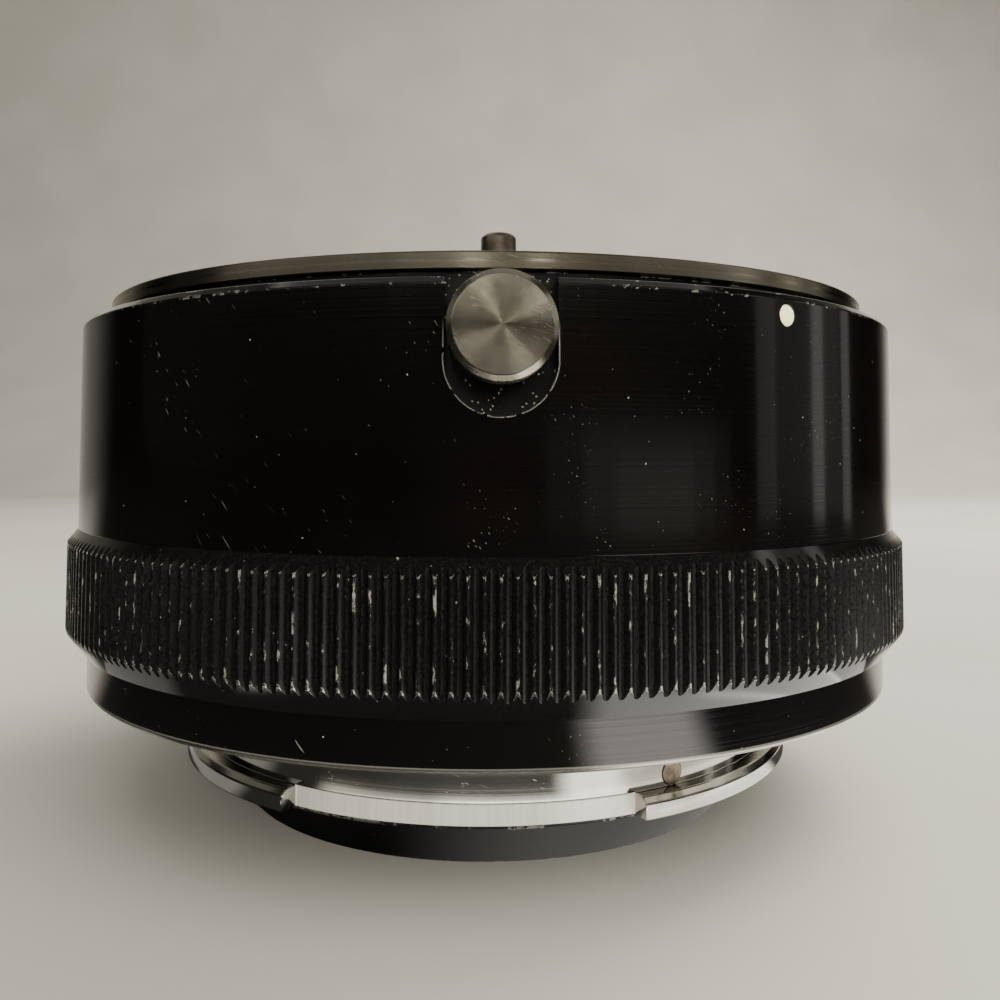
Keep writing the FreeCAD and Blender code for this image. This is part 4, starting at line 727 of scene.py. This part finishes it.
lip = {"bevel": 0.04, "slotInner": 19.35, "slotOuter": 20.9, "slotLow": -10, "slotHigh": -1,
       "outline": [(20.55, -2.2), (20.55, -5.6), (22.1, -5.6), (22.1, -5.75), (18.9, -9.0), (18.0, -9.0),
                   (18.0, -7.6), (19.35, -5.6), (19.35, -2.2)]}
leverSlot = {"angle": 34, "azimuth": 180}
makeTurned("rearLip", lip, finishes["lip"], "rear_lip",
           cutters=[sectorCutter(lip["slotInner"], lip["slotOuter"], lip["slotLow"], lip["slotHigh"],
                                 **leverSlot)])

lensSide = {"bevel": 0.05, "face": 27.5, "tabBevel": 0.08, "tabAngle": 55,
            "outline": [(23.75, 24.6), (28.0, 24.6), (28.0, 26.5), (29.4, 26.5), (29.4, 27.4), (29.3, 27.5),
                        (23.9, 27.5), (23.75, 27.35)],
            "tabOutline": [(22.4, 24.6), (24.05, 24.6), (24.05, 27.3), (22.4, 27.3)],
            "pinHole": {"radius": 1.3, "low": 24, "high": 29}}
makeTurned("lensBayonet", lensSide, finishes["flange"], "lens_bayonet",
           bosses=makeBosses(lensSide["tabOutline"], lensSide["tabAngle"], lensSide["tabBevel"]),
           cutters=countersinks(lensSide["face"], -1)
           + [rodCutter(**lensSide["pinHole"], axis=uprightAxis(0, pinPlace))])
print("lens side made")

# Screws with a cross recess
screw = {"head": 1.7, "thread": 0.82, "length": 4.3, "bevel": 0.05, "crossLong": 1.1, "crossHalf": 0.24,
         "crossDepth": 0.35}


def makeScrews(name, face, heading, node):
    # One object of five screws, whose heads are sunk a little below the face
    outline = [(0, 0), (screw["head"], 0), (screw["thread"], screw["head"] - screw["thread"]),
               (screw["thread"], screw["length"]), (0, screw["length"])]
    arms = ((screw["crossLong"], screw["crossHalf"]), (screw["crossHalf"], screw["crossLong"]))
    whole = None
    for azimuth in screwAzimuths:
        axis = uprightAxis(azimuth, mounting["screwPlace"], face + heading * mounting["sink"], heading)
        piece = turnedObject(name, outline, mounting["sides"], screw["bevel"], axis=axis)
        centre = axis[0] / mm
        reaches = [Vector((wide, deep, screw["crossDepth"])) for wide, deep in arms]
        carve(piece, [blockCutter(centre - reach, centre + reach) for reach in reaches])
        if whole is None:
            whole = piece
        else:
            carve(whole, [piece], "UNION")
    finishPiece(whole, finishes["screwSteel"], "tube", node)


makeScrews("cameraScrews", cameraSide["face"], 1, "camera_bayonet_screws")
makeScrews("lensScrews", lensSide["face"], -1, "lens_bayonet_screws")
print("screws made")


# Release button, pins and dot, each turned about its own axis

def makePlug(name, sizes, axis, finish, body, node):
    piece = turnedObject(name, sizes["outline"], sizes["segments"], sizes["bevel"], axis=axis)
    finishPiece(piece, finish, body, node, axis)


button = {"bevel": 0.035, "segments": 160,
          "outline": [(0, 30.15), (2.85, 30.15), (2.85, 32.75), (2.55, 33.05), (0, 33.05)]}
makePlug("releaseButton", button, buttonAxis, finishes["button"], "lens_release", "release_button")
lockPin = {"bevel": 0.05, "segments": 96,
           "outline": [(0, 17.05), (1.5, 17.05), (1.5, 24.55), (1.25, 24.55), (1.25, 27.5), (1.0, 27.5),
                       (1.0, 28.77), (0.8, 28.97), (0, 28.97)]}
makePlug("lockPin", lockPin, uprightAxis(0, pinPlace), finishes["steel"], "lens_release", "lock_pin")
stopPin = {"bevel": 0.04, "segments": 64, "outline": [(0, 20.63), (0.77, 20.63), (0.77, 22.35), (0, 22.35)]}
makePlug("bayonetStopPin", stopPin, stopAxis, finishes["pin"], "tube", "bayonet_stop_pin")
dot = {"bevel": 0.02, "segments": 64,
       "outline": [(0, 30.95), (0.64, 30.95), (0.64, 31.2), (0.58, 31.26), (0.35, 31.29), (0, 31.3)]}
makePlug("indexDot", dot, dotAxis, finishes["dot"], "tube", "index_dot")
print("button, pins and dot made")

# Inner sleeve with light trap ribs, and the plate over the works
sleeve = {"bevel": 0.02, "segments": 180, "top": 17.5, "bottom": -1.5, "bore": 18.0, "ribDepth": 0.3,
          "ribPitch": 0.95, "outside": 18.9, "foot": 23.6, "footLow": 4.6, "footHigh": 5.6,
          "ledge": 19.4, "ledgeLow": 12.35, "ledgeHigh": 12.95,
          "groove": 18.6, "grooveLow": 14.25, "grooveHigh": 14.8,
          "slotInner": 19.35, "slotOuter": 20.6, "slotLow": 3.6, "slotHigh": 6.6}
ribCount = int((sleeve["top"] - sleeve["bottom"]) / sleeve["ribPitch"])
sleeve["outline"] = []
for index in range(ribCount):
    crestHeight = sleeve["top"] - index * sleeve["ribPitch"]
    grooveHeight = sleeve["top"] - (index + 0.5) * sleeve["ribPitch"]
    sleeve["outline"].append((sleeve["bore"], crestHeight))
    sleeve["outline"].append((sleeve["bore"] + sleeve["ribDepth"], grooveHeight))
for radius, height in (("bore", "bottom"), ("outside", "bottom"), ("outside", "footLow"), ("foot", "footLow"),
                       ("foot", "footHigh"), ("outside", "footHigh"), ("outside", "ledgeLow"),
                       ("ledge", "ledgeLow"), ("ledge", "ledgeHigh"), ("outside", "ledgeHigh"),
                       ("outside", "grooveLow"), ("groove", "grooveLow"), ("groove", "grooveHigh"),
                       ("outside", "grooveHigh"), ("outside", "top")):
    sleeve["outline"].append((sleeve[radius], sleeve[height]))
footSlot = sectorCutter(sleeve["slotInner"], sleeve["slotOuter"], sleeve["slotLow"], sleeve["slotHigh"],
                        **leverSlot)
makeTurned("innerSleeve", sleeve, finishes["inside"], "inner_sleeve", sleeve["segments"],
           cutters=[footSlot])
cover = {"bevel": 0.05, "segments": 180, "outline": [(19.1, 16.2), (28.0, 16.2), (28.0, 17.0), (19.1, 17.0)],
         "cutLow": 15, "cutHigh": 18, "slotInner": 18, "slotOuter": 20.6,
         "notchHalf": 7.7, "notchInner": 23.4, "notchOuter": 32,
         "pillarHole": 0.63, "pillarPlace": 26.2, "pillars": (72, 192, 312)}
leverNotch = sectorCutter(cover["slotInner"], cover["slotOuter"], cover["cutLow"], cover["cutHigh"],
                          **leverSlot)
lockNotch = blockCutter((-cover["notchHalf"], -cover["notchOuter"], cover["cutLow"]),
                        (cover["notchHalf"], -cover["notchInner"], cover["cutHigh"]))
pillarHoles = [rodCutter(cover["pillarHole"], cover["cutLow"], cover["cutHigh"],
                         uprightAxis(azimuth, cover["pillarPlace"])) for azimuth in cover["pillars"]]
makeTurned("innerCover", cover, finishes["inside"], "inner_cover", cover["segments"],
           cutters=[leverNotch, lockNotch] + pillarHoles)
print("inside made")

# Levers of the aperture drive, each a bent strip that follows the sleeve
lever = {"bevel": 0.12, "steps": 28, "angle": 14, "azimuth": 171.5,
         "rearLever": [(19.6, 13.0), (22.7, 13.0), (22.7, 12.25), (20.35, 12.25), (20.35, -8.0),
                       (19.6, -8.0)],
         "frontLever": [(19.6, 14.2), (22.7, 14.2), (22.7, 14.95), (20.35, 14.95), (20.35, 22.5),
                        (19.6, 22.5)]}
for name, node in (("rearLever", "rear_lever"), ("frontLever", "front_lever")):
    piece = turnedObject(name, lever[name], lever["steps"], lever["bevel"], angle=lever["angle"],
                         azimuth=lever["azimuth"])
    finishPiece(piece, finishes["steel"], "aperture_drive", node)


# Springs: a wire section carried round and along

def coil(bm, middle, along, arm, sizes, rise):
    side = along.cross(arm)
    ring = bmesh.ops.create_circle(bm, segments=sizes["sides"], radius=sizes["wire"] * mm)["verts"]
    section = Matrix((arm, along, -side)).transposed().to_4x4()
    section = Matrix.Translation(middle + arm * sizes["coil"] * mm) @ section
    bmesh.ops.transform(bm, matrix=section, verts=ring)
    steps = sizes["turns"] * sizes["steps"]
    edges = list({edge for vert in ring for edge in vert.link_edges})
    bmesh.ops.spin(bm, geom=ring + edges, cent=middle, axis=along, dvec=along * (rise * mm / steps),
                   angle=math.radians(360 * sizes["turns"]), steps=steps)
    bmesh.ops.holes_fill(bm, edges=[edge for edge in bm.edges if edge.is_boundary], sides=sizes["sides"] + 2)


lockCoil = {"coil": 1.1, "wire": 0.16, "turns": 7, "low": 11.16, "high": 16.84, "steps": 24, "sides": 10,
            "seat": 10.95, "pressed": 0.74}  # height of its seat, and its share of length when pressed


def makeLockSpring():
    bm = bmesh.new()
    coil(bm, around(0, pinPlace, lockCoil["low"]), Vector((0, 0, 1)), Vector((1, 0, 0)), lockCoil,
         lockCoil["high"] - lockCoil["low"])
    clean(bm)
    spring = asObject("lockSpring", bm)
    finishPiece(spring, finishes["spring"], "tube", "lock_spring")
    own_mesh(spring)


returnCoil = {"coil": 0.85, "wire": 0.15, "turns": 11, "steps": 20, "sides": 10, "lead": 2.2, "eye": 0.98,
              "place": 24.6, "height": 11.2, "fixed": 222, "moving": 250}


def makeReturnSpring():
    # A coil between two eyes, each round a post
    bm = bmesh.new()
    fixedPost, movingPost = [around(returnCoil[post], returnCoil["place"], returnCoil["height"])
                             for post in ("fixed", "moving")]
    along = (movingPost - fixedPost).normalized()
    span = (movingPost - fixedPost).length / mm - 2 * returnCoil["lead"]
    coil(bm, fixedPost + along * returnCoil["lead"] * mm, along, Vector((0, 0, 1)), returnCoil, span)
    for post in (fixedPost, movingPost):
        coil(bm, post, Vector((0, 0, 1)), along, dict(returnCoil, coil=returnCoil["eye"], turns=1), 0)
    clean(bm)
    spring = asObject("returnSpring", bm)
    spring.data.materials.append(finishes["spring"])
    shadeSmooth(spring)
    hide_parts("aperture_spring")
    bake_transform(spring)


makeLockSpring()
makeReturnSpring()
print("levers and springs made")

# CAD pieces that stay get their real finish
kept = {
    "inside": ("lock_housing", "aperture_ring", "cover_pillars"),
    "steel": ("button_stem", "lens_stop_pin", "barrel_spring_post", "ring_spring_post"),
    "screwSteel": ("sleeve_screws", "cover_screws", "lock_housing_screws", "leaf_spring_screws"),
    "spring": ("leaf_springs", "drive_ring_clip"),
    "brass": ("lever_rivets",),
}
for finish, names in kept.items():
    for name in names:
        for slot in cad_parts[name].material_slots:
            slot.material = finishes[finish]
print("CAD pieces finished")

# Stage, lights and camera
studio = {
    "floorHeight": -9.0, "floor": "#b3b1aa", "cloud": "#adaba3", "cloudSize": 60, "floorRoughness": 0.75,
    "width": 9000, "front": -6000, "back": 520, "bend": 420, "bendSteps": 32, "high": 1500,
    # Past these distances beside and behind the tube the floor takes the colour of the room,
    # so that no horizon shows
    "hazeFrom": 150, "hazeTo": 750, "hazeSlant": 0.55,
    # Painted shade: in reflections only, the floor in front is painted dark, standing in for a room behind a
    # camera: up to these azimuths, close to the tube and far from it on its left and right
    "shade": {"colour": "#1a1917", "nearColour": "#303030", "near": 60, "far": 250, "nearLimit": 104,
              "leftLimit": 122, "rightLimit": 136, "soft": 8},
    # Painted light: patches of the floor that glow only in reflections, standing in for sunlit floor, by
    # azimuth and radius
    "patches": (
        {"azimuth": (15, 80), "radius": (28, 32.6), "glow": 2.2},
        {"azimuth": (-42, -12), "radius": (33.2, 36), "glow": 1.6},
        {"azimuth": (-12, 34), "radius": (33.2, 36), "glow": 3.5},
        {"azimuth": (34, 95), "radius": (32.6, 36), "glow": 1.9},
        {"azimuth": (18, 33), "radius": (36, 41), "glow": 3.0},
        {"azimuth": (33, 105), "radius": (36, 41), "glow": 1.0},
        {"azimuth": (19, 66), "radius": (41, 50), "glow": 1.9},
        {"azimuth": (17, 40), "radius": (55, 80), "glow": 2.5, "fade": 5},
        {"azimuth": (-115, -62), "radius": (29, 41), "glow": 0.3},
        {"azimuth": (-5, 90), "radius": (18.9, 25), "glow": 0.55, "soft": 18},
    ),
    "patchSoft": 4, "patchFade": 0.4,  # degrees and mm over which a patch ends
    "camera": {"place": (-1.75, -79.96, 16.5), "turned": 0.85, "pitch": 2.89, "roll": 0.12, "lens": 34.26,
               "sensor": 36, "shiftX": -0.002, "shiftY": -0.093},
    # Panels that the gloss mirrors, each at an azimuth and distance from the tube
    "panels": {
        "windowNear": {"azimuth": 90, "distance": 360, "low": -9, "high": 320, "wide": 30, "radiance": 0.66},
        "windowFar": {"azimuth": 103, "distance": 360, "low": -9, "high": 320, "wide": 26, "radiance": 0.5},
        "windowEdge": {"azimuth": 71, "distance": 360, "low": -9, "high": 320, "wide": 38, "radiance": 0.35},
        "wallRight": {"azimuth": 87, "distance": 400, "low": -9, "high": 360, "wide": 190, "radiance": 0.16},
        "tableWide": {"azimuth": 36, "distance": 310, "low": -9, "high": 30, "wide": 270, "radiance": 0.1},
        "tableMiddle": {"azimuth": 38, "distance": 300, "low": -9, "high": 24, "wide": 180, "radiance": 0.15},
        "tableCore": {"azimuth": 39, "distance": 290, "low": -9, "high": 16, "wide": 100, "radiance": 0.15},
        "glint": {"azimuth": 12, "distance": 290, "low": 80, "high": 104, "wide": 12, "radiance": 12.0},
        "lamp": {"azimuth": -4.9, "distance": 280, "low": 106, "high": 140, "wide": 8, "radiance": 22.0},
        "ceiling": {"azimuth": 180, "distance": 140, "low": 400, "high": 420, "wide": 500, "radiance": 1.2},
        "rear": {"azimuth": 180, "distance": 460, "low": 150, "high": 640, "wide": 760, "radiance": 0.5},
        "topLeft": {"azimuth": -52, "distance": 300, "low": 84, "high": 250, "wide": 285, "radiance": 0.45},
        "topFront": {"azimuth": 0, "distance": 300, "low": 84, "high": 250, "wide": 285, "radiance": 0.65},
        "topRight": {"azimuth": 52, "distance": 300, "low": 84, "high": 250, "wide": 285, "radiance": 0.4},
    },
    # Soft lights, which only brighten, without a mirror image unless it says so
    "lights": {
        "fill": {"place": (150, -260, 400), "aim": (0, 10, 0), "size": (560, 560), "power": 4.0},
        "low": {"place": (90, -500, 110), "aim": (0, 0, 5), "size": (240, 60), "power": 2.0},
        "overhead": {"place": (0, 340, 700), "aim": (0, 60, 0), "size": (800, 600), "power": 0.5,
                     "mirrored": True},
        "backdrop": {"place": (330, 240, 420), "aim": (120, 500, 20), "size": (500, 400), "power": 7.5},
    },
    "lightColour": "#fffaf0", "worldColour": "#c2bfb6",
    "worldSeen": 0.7, "worldDiffuse": 0.6, "worldMirrored": 0.05,
}


# Painted light: how strongly each floor patch glows
def paintedLightGlow(add, azimuth, radius):
    glow = 0.0
    for patch in studio["patches"]:
        left, right = patch["azimuth"]
        inner, outer = patch["radius"]
        soft = patch.get("soft", studio["patchSoft"])
        fade = patch.get("fade", studio["patchFade"])
        sides = [(azimuth, left - soft, left + soft), (azimuth, right + soft, right - soft),
                 (radius, (inner - fade) * mm, inner * mm), (radius, (outer + fade) * mm, outer * mm)]
        inPatch = allOf(add, *[add("MapRange", side, **smoothly) for side in sides])
        glow = add("MULTIPLY_ADD", [inPatch, patch["glow"], glow])
    return glow


def floorFinish():
    shade = studio["shade"]
    material, add, place = newFinish("paleFloor")
    clouds = add("TexNoise", {"Vector": place, "Scale": patternScale(studio["cloudSize"]), "Detail": 2.0})
    clouds = add("MapRange", [clouds, 0.3, 0.7], **smoothly)
    x, y = add("SeparateXYZ", [place]).outputs[:2]
    radius = hypotenuse(add, x, y)
    forwards = add("MULTIPLY", [y, -1.0])
    azimuth = add("ARCTAN2", [x, forwards])
    azimuth = add("MULTIPLY", [azimuth, math.degrees(1)])
    onRight = add("GREATER_THAN", [azimuth, 0.0])
    near = shade["near"] * mm
    far = shade["far"] * mm
    leftLimit, rightLimit = [
        add("MapRange", [radius, near, far, shade["nearLimit"], shade[side]], **smoothly)
        for side in ("leftLimit", "rightLimit")]
    limit = add("Mix", {0: onRight, 2: leftLimit, 3: rightLimit})
    past = add("ABSOLUTE", [azimuth])
    past = add("SUBTRACT", [past, limit])
    front = add("MapRange", [past, shade["soft"], -shade["soft"]], **smoothly)
    nearby = add("MapRange", [radius, near, near - shade["soft"] * mm], **smoothly)
    aside = add("ABSOLUTE", [x])
    aside = add("MULTIPLY_ADD", [y, -studio["hazeSlant"], aside])
    haze = add("MapRange", [aside, studio["hazeFrom"] * mm, studio["hazeTo"] * mm], **smoothly)
    path = add("LightPath").outputs
    haze = allOf(add, path["Is Camera Ray"], haze)
    # Painted shade: the floor in front goes dark, and only reflections show it
    dark = layered(add, shade["colour"], (nearby, shade["nearColour"]))
    colour = layered(add, studio["floor"], (clouds, studio["cloud"]),
                     (allOf(add, path["Is Glossy Ray"], front), dark), (haze, "#000000"))
    shine = layered(add, studio["lightColour"], (haze, studio["worldColour"]))
    # Painted light: the patches glow, and only reflections show them
    glow = allOf(add, paintedLightGlow(add, azimuth, radius), path["Is Glossy Ray"])
    glow = add("MULTIPLY_ADD", [haze, studio["worldSeen"] + studio["worldMirrored"], glow])
    addShader(add, {"Base Color": colour, "Roughness": studio["floorRoughness"], "Emission Color": shine,
                    "Emission Strength": glow})
    return material


def makeFloor():
    # A flat floor that bends up into a backdrop far behind
    bm = bmesh.new()
    half = studio["width"] / 2
    low = studio["floorHeight"]
    start = [bm.verts.new(Vector((-half, y, low)) * mm) for y in (studio["front"], studio["back"])]
    bm.edges.new(start)
    centre = Vector((-half, studio["back"], low + studio["bend"])) * mm
    arc = bmesh.ops.spin(bm, geom=[start[1]], cent=centre, axis=(1, 0, 0), angle=math.radians(90),
                         steps=studio["bendSteps"])
    last = [item for item in arc["geom_last"] if isinstance(item, bmesh.types.BMVert)][0]
    top = bm.verts.new(last.co + Vector((0, 0, studio["high"])) * mm)
    bm.edges.new((last, top))
    wide = bmesh.ops.extrude_edge_only(bm, edges=bm.edges[:])["geom"]
    moved = [item for item in wide if isinstance(item, bmesh.types.BMVert)]
    bmesh.ops.translate(bm, vec=(studio["width"] * mm, 0, 0), verts=moved)
    bmesh.ops.remove_doubles(bm, verts=bm.verts, dist=meshing["weld"] * mm)
    bmesh.ops.recalc_face_normals(bm, faces=bm.faces)
    floor = asObject("paleSweep", bm)
    shadeSmooth(floor)
    floor.data.materials.append(floorFinish())


def makeLight(name, place, aim, size, power, mirrored=False):
    lamp = bpy.data.lights.new(name, "AREA")
    lamp.shape = "RECTANGLE"
    lamp.size, lamp.size_y = [side * mm for side in size]
    lamp.energy = power
    lamp.color = hexColour(studio["lightColour"])[:3]
    holder = bpy.data.objects.new(name, lamp)
    holder.location = Vector(place) * mm
    holder.rotation_euler = (Vector(aim) - Vector(place)).to_track_quat("-Z", "Y").to_euler()
    holder.visible_glossy = mirrored
    holder.visible_camera = False
    bpy.context.scene.collection.objects.link(holder)


def makeLights():
    for name, panel in studio["panels"].items():
        middle = (panel["low"] + panel["high"]) / 2
        size = (panel["wide"], panel["high"] - panel["low"])
        power = panel["radiance"] * math.pi * size[0] * size[1] * mm * mm
        place = around(panel["azimuth"], panel["distance"], middle) / mm
        makeLight(name, place, (0, 0, middle), size, power, True)
    for name, light in studio["lights"].items():
        makeLight(name, **light)


def makeWorld():
    world = bpy.data.worlds.new("studio")
    bpy.context.scene.world = world
    add = emptyTree(world)
    path = add("LightPath").outputs
    strength = studio["worldMirrored"]
    for ray, share in (("Is Camera Ray", "worldSeen"), ("Is Diffuse Ray", "worldDiffuse")):
        strength = add("MULTIPLY_ADD", [path[ray], studio[share], strength])
    glow = add("Background", {"Color": studio["worldColour"], "Strength": strength})
    add("OutputWorld", {"Surface": glow})


def makeCamera():
    view = studio["camera"]
    data = bpy.data.cameras.new("camera")
    data.lens = view["lens"]
    data.sensor_width = view["sensor"]
    data.shift_x = view["shiftX"]
    data.shift_y = view["shiftY"]
    data.clip_start = 1 * mm
    data.clip_end = 10
    camera = bpy.data.objects.new("camera", data)
    place = Vector(view["place"])
    camera.location = place * mm
    heading = math.degrees(math.atan2(-place.x, -place.y)) + view["turned"]
    pose = Matrix()
    for angle, axis in ((-heading, "Z"), (90 + view["pitch"], "X"), (view["roll"], "Z")):
        pose = pose @ Matrix.Rotation(math.radians(angle), 4, axis)
    camera.rotation_euler = pose.to_euler()
    bpy.context.scene.collection.objects.link(camera)
    bpy.context.scene.camera = camera


makeFloor()
makeLights()
makeWorld()
makeCamera()
print("stage, lights and camera made")
